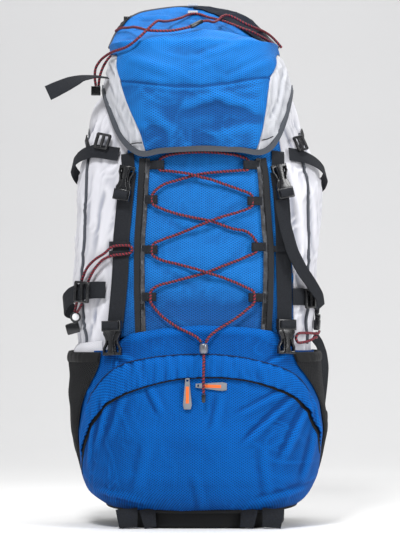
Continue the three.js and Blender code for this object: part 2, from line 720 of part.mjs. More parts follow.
const FRONT_STRAPS = {
  left: [[-111, 503], [-115, 461], [-118, 430], [-119, 385], [-122, 345], [-126, 299, 2.2]],
  right: [[118, 503], [121, 461], [122, 430], [122, 400], [123, 350], [122, 299, 2.2]],
};
const LID_STRAPS = {
  left: [[-109, 557.5, -0.2], [-108, 545, 0], [-107.5, 531, 0]],
  right: [[114, 561, -0.2], [114, 548, 0], [113.5, 531, 0]],
};
const UPPER_SIDE_STRAPS = {
  left: [[-38, 559, 2.5], [-55, 562, 3], [-72, 555, 6], [-88, 540, 11], [-104, 526, 6], [-118, 516, -0.3]],
  right: [[42, 556, 3], [55, 553, 3], [70, 543, 5], [86, 527, 8], [104, 515, 5], [118, 505, 1]],
};
const LOWER_SIDE_STRAPS = {
  left: [[-38, 355, 2.5], [-46, 355, 5], [-54, 353, 8], [-62, 350, 9], [-70, 346, 11], [-80, 336, 15],
    [-94, 326, 15], [-112, 318, 1]],
  right: [[42, 345, 3], [52, 345, 3], [66, 341, 3], [80, 335, 5], [96, 328, 3], [112, 322, 1]],
};
for (const name of ["left", "right"]) {
  const lay = (route, width, steps) => strapOnSack(route, width, LIFT, WEBBING_THICKNESS, steps);
  add(`front_strap_${name}`, lay(frontRoute(FRONT_STRAPS[name]), WEBBING, 9), webbing());
  add(`lid_strap_${name}`, lay(frontRoute(LID_STRAPS[name]), NARROW_WEBBING, 4), webbing());
  add(`upper_side_strap_${name}`, lay(sideRoute(UPPER_SIDE_STRAPS[name]), NARROW_WEBBING, 13), webbing());
  add(`lower_side_strap_${name}`, lay(sideRoute(LOWER_SIDE_STRAPS[name]), WEBBING, 13), webbing());
}

// Loose ends of webbing through hand-chosen points, each with the way its face looks
function looseStrap(points, width) {
  const places = points.map(([x, y, z]) => new THREE.Vector3(x, y, z));
  const outs = points.map(([, , , x, y, z]) => new THREE.Vector3(x, y, z).normalize());
  return sweep(stationsAlong(places, outs), strapSection(width, 0, WEBBING_THICKNESS));
}
const LOOSE_LEFT = [
  [-138, -86, 671, -0.7, -1, 0.2], [-155, -87, 673, -0.3, -1, 0.6], [-176, -84, 671, 0.1, -1, 0.8],
  [-196, -83, 664, 0.3, -1, 0.8], [-214, -82, 656, 0.3, -1, 0.8], [-229, -82, 649, 0.3, -1, 0.8],
];
const LOOSE_RIGHT = [
  [118, -120, 489, 0.5, -1, 0], [119.9, -122, 470, 0.5, -1, 0], [127, -129, 440, 0.5, -1, 0],
  [135, -128, 412, 0.6, -1, 0], [149, -121, 385, 0.7, -1, 0], [164, -109, 364, 0.8, -1, 0.1],
  [176, -98, 346, 0.9, -0.8, 0.2], [179, -92, 330, 1, -0.6, 0],
];
add("loose_strap_left", looseStrap(LOOSE_LEFT, WEBBING), webbing());
add("loose_strap_right", looseStrap(LOOSE_RIGHT, NARROW_WEBBING), webbing());

// Base straps: two loops of webbing a side, joined under their seam, in front of the boot
const BASE_STRAPS = { left: [-112.5, -83], right: [79, 111] };
for (const name of ["left", "right"]) {
  const bands = BASE_STRAPS[name].map((x) => plate(rectangle(x - 14, 1, x + 14, 28.6), 2.5));
  const seam = plate(rectangle(BASE_STRAPS[name][0], 1, BASE_STRAPS[name][1], 6), 2.5);
  const standing = new THREE.Matrix4().makeRotationX(Math.PI / 2).setPosition(0, -BOOT_FRONT * 1.01 - LIFT, 0);
  add(`base_straps_${name}`, placed(fuse(seam, ...bands), standing), webbing());
}

// Moulded pieces
// Half the outline of the plug of a side release buckle, with its prongs up, as shares of half
// its width and of the prong's length.
const PLUG_HALF = [
  [1, 0], [0.75, 0], [0.75, 0.5], [0.88, 0.53], [0.88, 0.68], [0.67, 1], [0.5, 1], [0.5, 0.16],
  [0.14, 0.16], [0.14, 0.9],
];
function plug(width, body, prong) {
  const half = width / 2;
  const right = [[half, -body], ...PLUG_HALF.map(([x, y]) => [x * half, y * prong])];
  const left = right.map(([x, y]) => [-x, y]).reverse();
  const shape = outline([...right, ...left]);
  const bar = body / 5;
  const inside = half * 0.78;
  for (const k of [1, 3]) {
    shape.holes.push(rectangle(-inside, -body + k * bar, inside, -body + (k + 1) * bar));
  }
  return plate(shape, MOULDING);
}

// The socket closes over the prongs: mouth down, a window on each side for the barbs, a slot for the webbing.
function socket(width, height, prong) {
  const half = width / 2;
  const rim = 1.5;
  const corner = 3;
  const body = plate(outline([
    [-half, -height / 2], [half, -height / 2], [half, height / 2 - corner], [half - corner, height / 2],
    [corner - half, height / 2], [-half, height / 2 - corner],
  ]), MOULDING + 2 * (rim + BUCKLE_CLEARANCE));
  const hollow = plate(rectangle(
    -half * 0.75 - BUCKLE_CLEARANCE, -height, half * 0.75 + BUCKLE_CLEARANCE, prong - height / 2 + 1,
  ), MOULDING + 2 * BUCKLE_CLEARANCE).translate(0, 0, rim);
  const window = plate(
    rectangle(-half - 1, prong * 0.4 - height / 2, half + 1, prong * 0.85 - height / 2),
    MOULDING + 2 * BUCKLE_CLEARANCE,
  ).translate(0, 0, rim);
  const slot = plate(rectangle(-half * 0.75, height / 2 - 6, half * 0.75, height / 2 - 3), height)
    .translate(0, 0, -1);
  return cut(body, hollow, window, slot);
}

function ladderLock(width, height) {
  const corner = 2;
  const frame = 3.5;
  const thickness = 4;
  const [w, h] = [width / 2, height / 2];
  const shape = outline([
    [corner - w, -h], [w - corner, -h], [w, corner - h], [w, h - corner],
    [w - corner, h], [corner - w, h], [-w, h - corner], [-w, corner - h],
  ]);
  const bar = height / 7;
  for (const k of [1, 4]) {
    shape.holes.push(rectangle(frame - w, k * bar - h, w - frame, (k + 2) * bar - h));
  }
  return plate(shape, thickness);
}

const UPPER_BUCKLE = { width: 24, socket: 30, body: 16, prong: 19 };
const LOWER_PLUG = { width: 32, body: 20, prong: 30 };
const BUCKLE_SEATS = {
  left: { x: -108, z: 526, lean: -8 },
  right: { x: 114.5, z: 525, lean: 10 },
};
const buckleLift = LIFT + WEBBING_THICKNESS + 0.7;
for (const name of ["left", "right"]) {
  const { x, z, lean } = BUCKLE_SEATS[name];
  const there = seatOnSack(x, z, buckleLift, lean);
  const { width, body, prong } = UPPER_BUCKLE;
  add(`upper_socket_${name}`, placed(socket(width, UPPER_BUCKLE.socket, prong), there), moulded());
  const inSocket = new THREE.Matrix4().makeTranslation(
    0, -UPPER_BUCKLE.socket / 2 - BUCKLE_CLEARANCE, 1.5 + BUCKLE_CLEARANCE,
  );
  add(`upper_plug_${name}`, placed(placed(plug(width, body, prong), inSocket), there), moulded());
}
const LOWER_PLUG_SEATS = { left: [-127, 291], right: [121.5, 291] };
for (const name of ["left", "right"]) {
  const [x, z] = LOWER_PLUG_SEATS[name];
  const { width, body, prong } = LOWER_PLUG;
  add(`lower_plug_${name}`, placed(plug(width, body, prong), seatOnSack(x, z, 5.2, 180)), moulded());
}

const LADDERS = {
  upper_ladder_left: { angle: -48, z: 575, off: 5.7, width: 24, height: 28, lean: 80 },
  upper_ladder_right: { angle: 56, z: 571, off: 6.3, width: 24, height: 26, lean: 100 },
  lower_ladder_left: { angle: -54, z: 352, off: 11, width: 32, height: 32, lean: 87 },
  lower_ladder_right: { angle: 58, z: 343, off: 5.9, width: 30, height: 26, lean: 93 },
};
for (const [name, { angle, z, off, width, height, lean }] of Object.entries(LADDERS)) {
  const turn = angle * DEGREE;
  const there = seat(above(sackSkin, turn, z, off), outward(sackSkin, turn, z), lean);
  add(name, placed(ladderLock(width, height), there), moulded());
}

// Lock of the front lacing: a barrel with rounded ends
const LACE_LOCK = new THREE.Vector3(3.85, -156.3, 261.6);
const lockProfile = [[0, 0], [4.5, 0], [6, 2], [LOCK_RADIUS, 5], [LOCK_RADIUS, 10], [6, 13], [4.5, 15], [0, 15]]
  .map(([x, y]) => new THREE.Vector2(x, y * LOCK_LENGTH / 15));
const standUp = new THREE.Matrix4().makeRotationX(Math.PI / 2);
add("lace_lock", placed(placed(new THREE.LatheGeometry(lockProfile, 12), standUp),
  new THREE.Matrix4().makeTranslation(LACE_LOCK)), metalLock());

// Locks of the side cords, and the one that hangs at the left of the lid
function cordLock(width, height, depth, button) {
  const body = plate(rectangle(-width / 2, -height / 2, width / 2, height / 2), depth, 1.5);
  const disc = new THREE.CylinderGeometry(button, button, depth * 0.8, 12).rotateX(Math.PI / 2);
  return fuse(body, disc.translate(width * 0.1, height / 2 + button * 0.6, depth / 2));
}
const lockSeat = (angle, z, off, lean) => {
  const turn = angle * DEGREE;
  return seat(above(sackSkin, turn, z, off), outward(sackSkin, turn, z), lean);
};
add("side_lock_left", placed(cordLock(19, 17, 9, 6), lockSeat(-73, 299, 0.4, 12)), moulded());
add("side_lock_right", placed(cordLock(14, 16, 9, 5), lockSeat(76, 303, 2.5, 0)), moulded());
const lidLock = plate(rectangle(-7, -7, 7, 7), 9, 1.5);
const lidLockSeat = seat(new THREE.Vector3(-158, -57, 654), new THREE.Vector3(0, -1, 0));
add("lid_cord_lock", placed(lidLock, lidLockSeat), moulded());

// Cords
const LACE_ROUTE = [
  [0.8, -156.3, 278.2], [-5, -155, 284.8], [-20, -150.4, 293.4], [-34.2, -147.6, 300.1],
  [-47.3, -144.9, 308.7], [-58.3, -140.6, 317.3], [-68.4, -138.6, 328.3], [-74.2, -138.1, 337.4],
  [-74.5, -137.4, 345.4], [-74.2, -136.9, 353.3], [-64.3, -136.3, 361.2], [-43.1, -136.3, 367.2],
  [-2, -136.3, 378.1], [8, -136.2, 381.1], [36.1, -135.4, 392.1], [66.4, -133.3, 404.1],
  [81.2, -132.6, 411.9], [82.8, -131.9, 419.2], [81.4, -131.9, 427.1], [68.4, -131.9, 441.1],
  [46.1, -133, 446.1], [15, -133.3, 457.1], [-15, -133.1, 463.1], [-43.1, -132.4, 470.1],
  [-62.3, -131.6, 477.2], [-71, -131.8, 482.2], [-72.5, -131.3, 489.2], [-71.5, -131.1, 497.2],
  [-57.2, -130.3, 510.2], [-33.1, -130.4, 518.2], [-1.5, -130.1, 526.7], [30.1, -129.7, 530.2],
  [58.3, -129.1, 532.3], [69.8, -128.8, 533.8], [70.6, -128.2, 540.4], [69.6, -127.6, 547.5],
  [57.3, -127.3, 553.4], [36.1, -127.8, 557.4], [-1.5, -128, 559.4], [-33.1, -127.9, 557.4],
  [-52.2, -127.9, 553.4], [-61.7, -128.7, 547.4], [-62.4, -129.3, 540.4], [-61.8, -129.7, 533.4],
  [-46.2, -130, 531.3], [-15, -134.6, 526.5], [-1.5, -135.2, 522.5], [15, -134.9, 518.4],
  [33.1, -132, 512.2], [58.3, -130.7, 503.2], [74.1, -130.6, 496.2], [76.6, -130.7, 487.2],
  [75.1, -131.2, 479.2], [57.2, -131.9, 471.1], [33.1, -135.7, 464.2], [15, -138.1, 457.8],
  [-1.5, -137.1, 451.2], [-33.1, -133.9, 438.1], [-58.2, -133.4, 429.1], [-70.5, -134, 422.7],
  [-72.5, -134.1, 415.2], [-71.5, -134.5, 407.2], [-60.3, -134.6, 400.2], [-33.1, -135.7, 393.1],
  [-4, -140, 385.3], [8, -141, 381.3], [36.1, -137.5, 372.2], [66.4, -135.4, 359.2],
  [77.8, -136.2, 352.3], [79, -136.7, 344.4], [78.2, -137.3, 336.4], [66.5, -138.2, 325.3],
  [48.4, -142.9, 311.5], [28.2, -148.3, 299.2], [13, -154, 287.5], [6.9, -156.3, 278.2],
];
const LACE_TAIL_ROUTE = [
  [4, -157.4, 259.3], [4, -162.5, 256.6], [4, -166.5, 251], [3.8, -169.5, 241], [3.6, -170, 230],
  [3.5, -169, 220], [3.6, -167.6, 211], [3.8, -166.4, 203],
];
const LID_CORD_ROUTE = [
  [-158, -62, 661.4], [-159.5, -64, 674], [-158, -65, 688], [-151, -68, 699], [-142, -76, 706],
  [-130, -104, 710], [-108, -131, 716], [-92, -137, 728], [-78, -130, 742], [-66, -114, 754],
  [-56, -78, 757], [-45, -34, 762], [-30, -12, 768], [-15, 12, 776], [-4, 12, 775.8], [12, 0, 769.6],
  [27, -14, 765], [49, -31, 756], [62, -38, 750], [76, -36, 745], [90, -26, 739], [104, -8, 732.2],
  [113, 4, 726.1],
];
const CROSS_CORD_ROUTE = [
  [-130, 12, 750], [-122, -10, 757], [-103, -50, 753], [-91, -88, 753], [-82, -112, 758],
  [-71, -140, 742], [-43, -136, 739], [-15, -130, 745], [0, -120, 754], [10, -104, 755],
  [18, -66, 756], [27, -27, 764], [33, -18, 770], [40, -10, 772], [51, -11, 768], [65, -14, 760],
  [80, -6, 754], [96, 22, 750], [107, 35, 744], [116, 43, 736], [124, 47, 727],
];
const SIDE_CORD_LEFT_ROUTE = [
  [-189.3, -71.7, 321.6], [-186.9, -77.7, 331.7], [-183.7, -83.2, 344.8], [-180.4, -88.8, 359.0],
  [-176.7, -92.9, 372.2], [-170.1, -98.9, 387.3], [-158.4, -107.9, 399.8], [-143.7, -116.4, 409.3],
  [-131.4, -121.4, 419.2], [-115.3, -126.7, 421.2], [-105.0, -129.4, 420.2], [-101.5, -130.4, 415.2],
  [-105.3, -129.7, 410.2], [-115.7, -127.2, 408.2], [-130.4, -122.4, 406.3], [-145.3, -116.0, 400.3],
  [-157.5, -109.4, 387.3], [-166.4, -103.5, 371.2], [-171.7, -99.0, 357.1], [-175.5, -94.9, 342.9],
  [-179.7, -89.8, 330.8], [-185.2, -81.3, 321.7],
];
const SIDE_CORD_RIGHT_ROUTE = [
  [178, -56, 292.5], [175.5, -66, 289.5], [165.3, -82.2, 290.2], [151.3, -104, 291], [144, -112, 290],
  [141, -115.2, 284], [144, -112.6, 277.5], [150.4, -105.3, 277], [164, -86, 280], [171.5, -76, 284],
  [174, -65, 283.5],
];
const cordOf = (route) => cord(route, route.length - 1);
add("front_lace", cordOf(LACE_ROUTE), cordBraid());
add("lace_tail", cordOf(LACE_TAIL_ROUTE), cordBraid());
add("lid_cord", cordOf(LID_CORD_ROUTE), cordBraid());
add("lid_cross_cord", cordOf(CROSS_CORD_ROUTE), cordBraid());
add("side_cord_left", cordOf(SIDE_CORD_LEFT_ROUTE), cordBraid());
add("side_cord_right", cordOf(SIDE_CORD_RIGHT_ROUTE), cordBraid());
const tip = new THREE.CylinderGeometry(CORD * 0.8, CORD * 0.65, 12, 12).rotateX(Math.PI / 2);
add("lace_tip", tip.translate(3.8, -165.6, 196.3), moulded());

// Pulls of the lower zip
const pullShape = () => {
  const shape = outline([[-3, 0], [3, 0], [6.5, -40], [5, -46], [-5, -46], [-6.5, -40]]);
  shape.holes.push(rectangle(-1.6, -5, 1.6, -2.5));
  return shape;
};
add("zip_pull_left", placed(plate(pullShape(), 2.5, 0.5), seatOnSack(-20, 225, 7, 0)), moulded());
add("zip_pull_right", placed(plate(pullShape(), 2.5, 0.5), seatOnSack(-8, 214, 5.4, 88)), moulded());

// Harness on the back
add("back_pad", cloth(6, 7, (u, v) => {
  const angle = lerp(152, 208, u) * DEGREE;
  return above(sackSkin, angle, lerp(205, 622, v), 2 * LIFT + BACK_PAD_THICKNESS);
}, BACK_PAD_THICKNESS), padding());

const padSection = (width, thickness) => [
  [-width / 2, 0], [-width / 2 + 4, -thickness / 2], [width / 2 - 4, -thickness / 2], [width / 2, 0],
  [width / 2 - 4, thickness / 2], [4 - width / 2, thickness / 2],
];
const SHOULDER = [
  [48, 122.2, 600, 0, 0.5, 1, 0.9], [52, 143, 606, 0, 0.7, 1, 1], [58, 163, 588, 0, 1, 0.7, 1],
  [66, 174, 550, 0, 1, 0.2, 1], [77, 177, 490, 0, 1, 0, 1], [90, 173, 420, 0, 1, -0.1, 0.95],
  [100, 160, 350, 0, 1, -0.2, 0.85], [106, 143, 295, 0, 1, -0.3, 0.65], [106, 127, 255, 0, 1, -0.35, 0.4],
  [99, 117, 225, 0, 1, -0.2, 0.4],
];
// The back is a little fuller on the left, so the left strap lies further out.
const SHOULDER_REST = { left: 0.6, right: -0.4 };
for (const [name, side] of [["left", -1], ["right", 1]]) {
  const places = SHOULDER.map(([x, y, z]) => new THREE.Vector3(side * x, y + SHOULDER_REST[name], z));
  const outs = SHOULDER.map(([, , , x, y, z]) => new THREE.Vector3(side * x, y, z).normalize());
  const stations = stationsAlong(places, outs).map((station, i) => ({ ...station, scale: SHOULDER[i][6] }));
  add(`shoulder_strap_${name}`, sweep(stations, padSection(SHOULDER_WIDTH, SHOULDER_THICKNESS)), padding());
}

const BELT = [
  [0, 106.9, 0, 1, 1], [45, 106.6, 0, 1, 1], [90, 106, 0.1, 1, 1], [130, 103, 0.35, 1, 0.95],
  [164, 94, 0.7, 1, 0.85], [184, 78, 1, 0.7, 0.68], [192, 56, 1, 0.2, 0.5],
];
const beltRows = [...BELT.slice(1).map(([x, y, a, b, scale]) => [-x, y, -a, b, scale]).reverse(), ...BELT];
const beltPlaces = beltRows.map(([x, y]) => new THREE.Vector3(x, y, 150));
const beltOuts = beltRows.map(([, , a, b]) => new THREE.Vector3(a, b, 0).normalize());
const beltStations = stationsAlong(beltPlaces, beltOuts)
  .map((station, i) => ({ ...station, scale: beltRows[i][4] }));
const wings = sweep(beltStations, padSection(BELT_HEIGHT, BELT_THICKNESS));
const LIFTER = [
  [177, 28, 286, 1, -0.1, 0], [186, 34, 272, 1, -0.1, 0.4], [193, 40, 255, 1, -0.1, 0.2],
  [195.5, 46, 235, 1, -0.1, 0], [194, 51, 210, 1, -0.1, -0.1], [191.5, 56, 180, 1, -0.1, -0.1],
  [191, 60, 155, 1, -0.1, 0],
];
add("hip_belt", fuse(wings, looseStrap(LIFTER, NARROW_WEBBING)), padding());

const HAUL = [
  [-15, 119, 602, -1, 0, 0], [-16, 128, 605, -1, 0.2, 0], [-11, 137, 608, -0.6, 1, 0], [0, 141, 610, 0, 1, 0],
  [11, 137, 608, 0.6, 1, 0], [16, 128, 605, 1, 0.2, 0], [15, 119, 602, 1, 0, 0],
];
add("haul_loop", looseStrap(HAUL, NARROW_WEBBING), webbing());

export default backpack;
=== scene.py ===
# %% [markdown]
# # A hiking backpack, dressed in Blender
# The pack stands on its base with the laced front to the viewer. The solid model gives every piece its size
# and place. Here each piece gets the surface that makes it look sewn: cloth with folds and a woven pattern,
# webbing with ribs, braided cord, moulded buckles and padding. All lengths below are millimetres until they
# meet a mesh.

# %% Load the frame
import math
import bpy
import numpy as np
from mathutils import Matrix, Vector


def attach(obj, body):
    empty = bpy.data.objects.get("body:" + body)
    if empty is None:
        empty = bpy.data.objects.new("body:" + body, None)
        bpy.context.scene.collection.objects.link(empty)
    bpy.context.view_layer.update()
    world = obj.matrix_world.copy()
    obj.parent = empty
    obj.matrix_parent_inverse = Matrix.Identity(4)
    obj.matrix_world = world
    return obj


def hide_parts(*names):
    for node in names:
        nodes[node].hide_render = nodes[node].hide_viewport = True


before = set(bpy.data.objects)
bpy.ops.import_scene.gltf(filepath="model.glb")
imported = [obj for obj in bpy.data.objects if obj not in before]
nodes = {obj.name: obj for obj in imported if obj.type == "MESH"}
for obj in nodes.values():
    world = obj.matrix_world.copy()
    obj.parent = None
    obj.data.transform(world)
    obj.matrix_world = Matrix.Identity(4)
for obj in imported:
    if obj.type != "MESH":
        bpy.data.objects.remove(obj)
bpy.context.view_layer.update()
MM = 0.001
DEGREE = math.pi / 180
SIDES = (("left", -1), ("right", 1))

# %% [markdown]
# The camera comes first, because everything is judged through it. The picture was taken from straight ahead
# at half the pack's height with a long lens, so the camera stands 4.5 m away. The length of the lens
# follows from the height of the picture, 533 pixels of 1.5 mm on the plane of the cloth's front.

# %% Camera
PIXEL, PICTURE_ROWS, PICTURE_MIDDLE, PICTURE_FLOOR = 1.5, 533, 201, 526.5
VIEW_DISTANCE, CLOTH_PLANE, SENSOR = 4.5, 0.07, 24
bpy.ops.object.camera_add(location=(-0.0015, -VIEW_DISTANCE, 0.390), rotation=(math.pi / 2, 0, 0))
camera = bpy.context.object
camera.name = "camera"
camera.data.sensor_fit = "VERTICAL"
camera.data.sensor_height = SENSOR
camera.data.lens = SENSOR * (VIEW_DISTANCE - CLOTH_PLANE) / (PICTURE_ROWS * PIXEL * MM)
bpy.context.scene.camera = camera
print("camera: lens", round(camera.data.lens, 1), "mm")

# %% [markdown]
# A few tools serve every soft piece. The first lets go of whatever is selected, since an operator acts on
# all that is. The main one adds a flat grid, moves its points to their place, and gives it a wall with
# Solidify. A grid keeps its UV map, so the weave can follow the cloth. The map is stretched to millimetres
# of cloth. Each point also keeps how far it lies in a hollow, and the cloth's material turns this into
# painted shade in its folds and a painted highlight on its ridges.

# %% A cloth from a grid
WELD = 0.02


def let_go():
    bpy.ops.object.select_all(action="DESELECT")


def only(piece):
    let_go()
    piece.select_set(True)
    bpy.context.view_layer.objects.active = piece


def in_edit_mode(piece, *steps):
    only(piece)
    bpy.ops.object.mode_set(mode="EDIT")
    bpy.ops.mesh.select_all(action="SELECT")
    for step in steps:
        step()
    bpy.ops.object.mode_set(mode="OBJECT")


def smooth_edges(piece, sharp=35):
    only(piece)
    bpy.ops.object.shade_smooth_by_angle(angle=sharp * DEGREE)


def turn_outward():
    bpy.ops.mesh.normals_make_consistent(inside=False)


def points_of(piece):
    flat = np.empty(len(piece.data.vertices) * 3)
    piece.data.vertices.foreach_get("co", flat)
    return flat.reshape(-1, 3)


def move_points(piece, points):
    piece.data.vertices.foreach_set("co", np.asarray(points, float).ravel())
    piece.data.update()


def box_blur(grid, reach, wrapped):
    count = 2 * reach + 1
    for axis, mode in ((0, "edge"), (1, "wrap" if wrapped else "edge")):
        pads = [(0, 0)] * 3
        pads[axis] = (reach, reach)
        sums = np.cumsum(np.pad(grid, pads, mode=mode), axis=axis)
        first = np.take(sums, [count - 1], axis=axis)
        rest = np.take(sums, range(count, sums.shape[axis]), axis=axis)
        rest = rest - np.take(sums, range(sums.shape[axis] - count), axis=axis)
        grid = np.concatenate([first, rest], axis=axis) / count
    return grid


def hollows(points, columns, rows, wrapped):
    """How deep each point lies below its surroundings, in millimetres, at a small and a larger scale."""
    grid = points.reshape(rows + 1, columns + 1, 3)
    normal = np.cross(np.gradient(grid, axis=1), np.gradient(grid, axis=0))
    normal /= np.linalg.norm(normal, axis=2, keepdims=True) + 1e-9
    pitch = np.linalg.norm(np.gradient(grid, axis=1), axis=2).mean()
    depth = 0
    for size, weight in ((5.0, 1.0), (14.0, 0.5)):
        reach = max(1, int(round(size / max(pitch, 0.5))))
        if min(columns, rows) > 2 * reach:
            local = ((box_blur(grid, reach, wrapped) - grid) * normal).sum(2)
            whole = ((box_blur(grid, min(3 * reach, min(columns, rows) // 2), wrapped) - grid) * normal).sum(2)
            depth = depth + weight * (local * 1.6 + 0.2 * (whole - whole.mean()))
    return np.broadcast_to(depth, (rows + 1, columns + 1)).ravel()


def cloth(name, columns, rows, place, size, wall=1.6, closed=False):
    let_go()
    bpy.ops.mesh.primitive_grid_add(x_subdivisions=columns, y_subdivisions=rows, size=1, calc_uvs=True)
    piece = bpy.context.object
    piece.name = piece.data.name = name
    share = points_of(piece) + 0.5
    points = place(share[:, 0], share[:, 1])
    move_points(piece, points * MM)
    # The depth is kept for the material, which paints shade into the hollows and a highlight onto the ridges.
    depth = hollows(points, columns, rows, closed)
    piece.data.attributes.new("hollow", "FLOAT", "POINT").data.foreach_set("value", depth)
    layer = piece.data.uv_layers[0].data
    flat = np.empty(len(layer) * 2)
    layer.foreach_get("uv", flat)
    layer.foreach_set("uv", (flat.reshape(-1, 2) * size).ravel())
    if closed:
        in_edit_mode(piece, lambda: bpy.ops.mesh.remove_doubles(threshold=WELD * MM))
    if wall:
        give_wall(piece, wall)
    only(piece)
    bpy.ops.object.shade_smooth()
    return piece


def shade(piece, amount):
    """Painted shade and shadow: deepens the colour where amount, of the points in millimetres, is above 0."""
    x, y, z = (points_of(piece) / MM).T
    values = piece.data.attributes["hollow"].data
    depth = np.empty(len(values))
    values.foreach_get("value", depth)
    values.foreach_set("value", depth + amount(x, y, z))


def give_wall(piece, wall):
    only(piece)
    solidify = piece.modifiers.new("wall", "SOLIDIFY")
    solidify.thickness = wall * MM
    solidify.offset = -1
    solidify.use_even_offset = False
    bpy.ops.object.modifier_apply(modifier=solidify.name)


def finish_piece(piece, slot, material, *replaced):
    piece.data.materials.clear()
    piece.data.materials.append(material)
    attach(piece, "root")
    if replaced:
        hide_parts(*replaced)
    return piece


print("tools: cloth grid, wall, finish")

# %% [markdown]
# The sack is a tall rounded box. Its sections are rounded rectangles whose four sides are tabled from the
# foot up, as shares of the whole width, depth and height. A little smoothing along the height takes away
# the corners between the rows, because cloth that is filled from inside has none.

# %% The sack's skin
SACK_HEIGHT, SACK_WIDTH, SACK_DEPTH, SACK_FOOT = 668, 376, 250, 30
SACK_SECTIONS = np.array([
    # up, left, right, front, back, power
    (0.045, 0.69, 0.69, 0.44, 0.34, 3.0),
    (0.055, 0.77, 0.79, 0.49, 0.37, 3.0),
    (0.080, 0.89, 0.86, 0.55, 0.39, 3.0),
    (0.118, 0.94, 0.92, 0.585, 0.40, 3.0),
    (0.217, 0.96, 0.955, 0.615, 0.40, 3.0),
    (0.296, 0.975, 0.915, 0.605, 0.40, 3.0),
    (0.392, 0.99, 0.89, 0.58, 0.40, 3.0),
    (0.543, 1.035, 0.94, 0.535, 0.405, 3.0),
    (0.632, 1.02, 0.957, 0.525, 0.41, 3.0),
    (0.760, 1.01, 0.985, 0.512, 0.41, 3.0),
    (0.805, 0.98, 0.947, 0.505, 0.41, 3.0),
    (0.885, 0.91, 0.815, 0.483, 0.405, 2.8),
    (0.928, 0.89, 0.782, 0.465, 0.40, 2.5),
    (0.965, 0.835, 0.74, 0.43, 0.385, 2.3),
    (0.983, 0.76, 0.67, 0.385, 0.355, 2.2),
    (1.000, 0.62, 0.56, 0.32, 0.31, 2.2),
])


def smooth_profile(rows, height, half, depth):
    heights = np.arange(0.0, height + 60.0, 2.0)
    reach = 7
    kernel = np.exp(-0.5 * (np.arange(-reach, reach + 1) / 2.6) ** 2)
    columns = []
    for i, scale in enumerate((half, half, depth, depth, 1.0)):
        values = np.interp(heights, rows[:, 0] * height, rows[:, i + 1] * scale)
        columns.append(np.convolve(np.pad(values, reach, mode="edge"), kernel / kernel.sum(), mode="valid"))
    return heights, columns


def section(profile, z):
    heights, columns = profile
    return [np.interp(z, heights, column) for column in columns]


def on_skin(profile, angle, z):
    left, right, front, back, power = section(profile, z)
    across, ahead = np.sin(angle), np.cos(angle)
    x = np.sign(across) * np.where(across < 0, left, right) * np.abs(across) ** (2 / power)
    y = -np.sign(ahead) * np.where(ahead < 0, back, front) * np.abs(ahead) ** (2 / power)
    return np.stack([x, y, z + 0 * x], -1)


def outward(profile, angle, z):
    left, right, front, back, power = section(profile, z)
    x, y, _ = np.moveaxis(on_skin(profile, angle, z), -1, 0)
    a = np.where(x < 0, left, right)
    b = np.where(y < 0, front, back)
    gx = np.sign(x) * (np.abs(x) / a) ** (power - 1) / a
    gy = np.sign(y) * (np.abs(y) / b) ** (power - 1) / b
    size = np.hypot(gx, gy)
    gx, gy = gx / size, gy / size
    rise = on_skin(profile, angle, z + 8) - on_skin(profile, angle, z - 8)
    slope = (gx * rise[..., 0] + gy * rise[..., 1]) / 16
    normal = np.stack([gx, gy, -slope], -1)
    return normal / np.linalg.norm(normal, axis=-1, keepdims=True)


def above(profile, angle, z, height):
    return on_skin(profile, angle, z) + outward(profile, angle, z) * np.asarray(height)[..., None]


def angle_at(profile, x, z):
    left, right, _, _, power = section(profile, z)
    share = np.minimum(1, np.abs(x) / np.where(np.asarray(x) < 0, left, right))
    return np.sign(x) * np.arcsin(share ** (power / 2))


SACK = smooth_profile(SACK_SECTIONS, SACK_HEIGHT, SACK_WIDTH / 2, SACK_DEPTH)
print("sack: widest", round(float(max(SACK[1][0])) + float(max(SACK[1][1]))), "mm")

# %% [markdown]
# Equal steps of the angle crowd together at the corners of such a section. A table of the length round a
# middle section turns equal steps of cloth into angles, so that the squares of the weave stay square.

# %% Even steps round the sack
RING_STEPS, RING_HEIGHT = 2881, 330.0
ring_angles = np.linspace(-math.pi, math.pi, RING_STEPS)
ring_points = on_skin(SACK, ring_angles, np.full(RING_STEPS, RING_HEIGHT))
ring_length = np.concatenate([[0], np.cumsum(np.linalg.norm(np.diff(ring_points, axis=0), axis=1))])


def length_at(angle):
    turns = np.floor((angle + math.pi) / (2 * math.pi))
    return np.interp(angle - turns * 2 * math.pi, ring_angles, ring_length) + turns * ring_length[-1]


def even_angle(start, end, share):
    along = length_at(start) + (length_at(end) - length_at(start)) * share
    turns = np.floor(along / ring_length[-1])
    return np.interp(along - turns * ring_length[-1], ring_length, ring_angles) + turns * 2 * math.pi


print("sack: round the middle", round(float(ring_length[-1])), "mm")

# %% [markdown]
# Cloth is never flat. Two functions raise and lower it: slow random waves, and folds drawn one by one as
# lines with a width and a height. A fold has a ridge with a hollow beside it, as pulled cloth does. The
# seeds are fixed, so each run gives the same cloth.

# %% Waves and folds
def waves(seed, s, t, size, count=18):
    random = np.random.default_rng(seed)
    total = 0
    for _ in range(count):
        turn, phase = random.uniform(0, 2 * math.pi, 2)
        wave = size * random.uniform(0.6, 1.7)
        total = total + np.sin((s * math.cos(turn) + t * math.sin(turn)) * 2 * math.pi / wave + phase)
    return total / math.sqrt(count)


def folds(s, t, lines):
    total = 0
    for s0, t0, s1, t1, width, height in lines:
        width = 0.8 * width
        ds, dt = s1 - s0, t1 - t0
        length = math.hypot(ds, dt)
        along = ((s - s0) * ds + (t - t0) * dt) / length ** 2
        off = ((s - s0) * dt - (t - t0) * ds) / length
        fade = 1 / (1 + np.exp(np.clip((np.abs(along - 0.5) - 0.42) * 18, -40, 40)))
        ridge = np.exp(-(off / width) ** 2) - 0.6 * np.exp(-((off - 1.4 * width) / (0.8 * width)) ** 2)
        total = total + height * fade * ridge
    return total


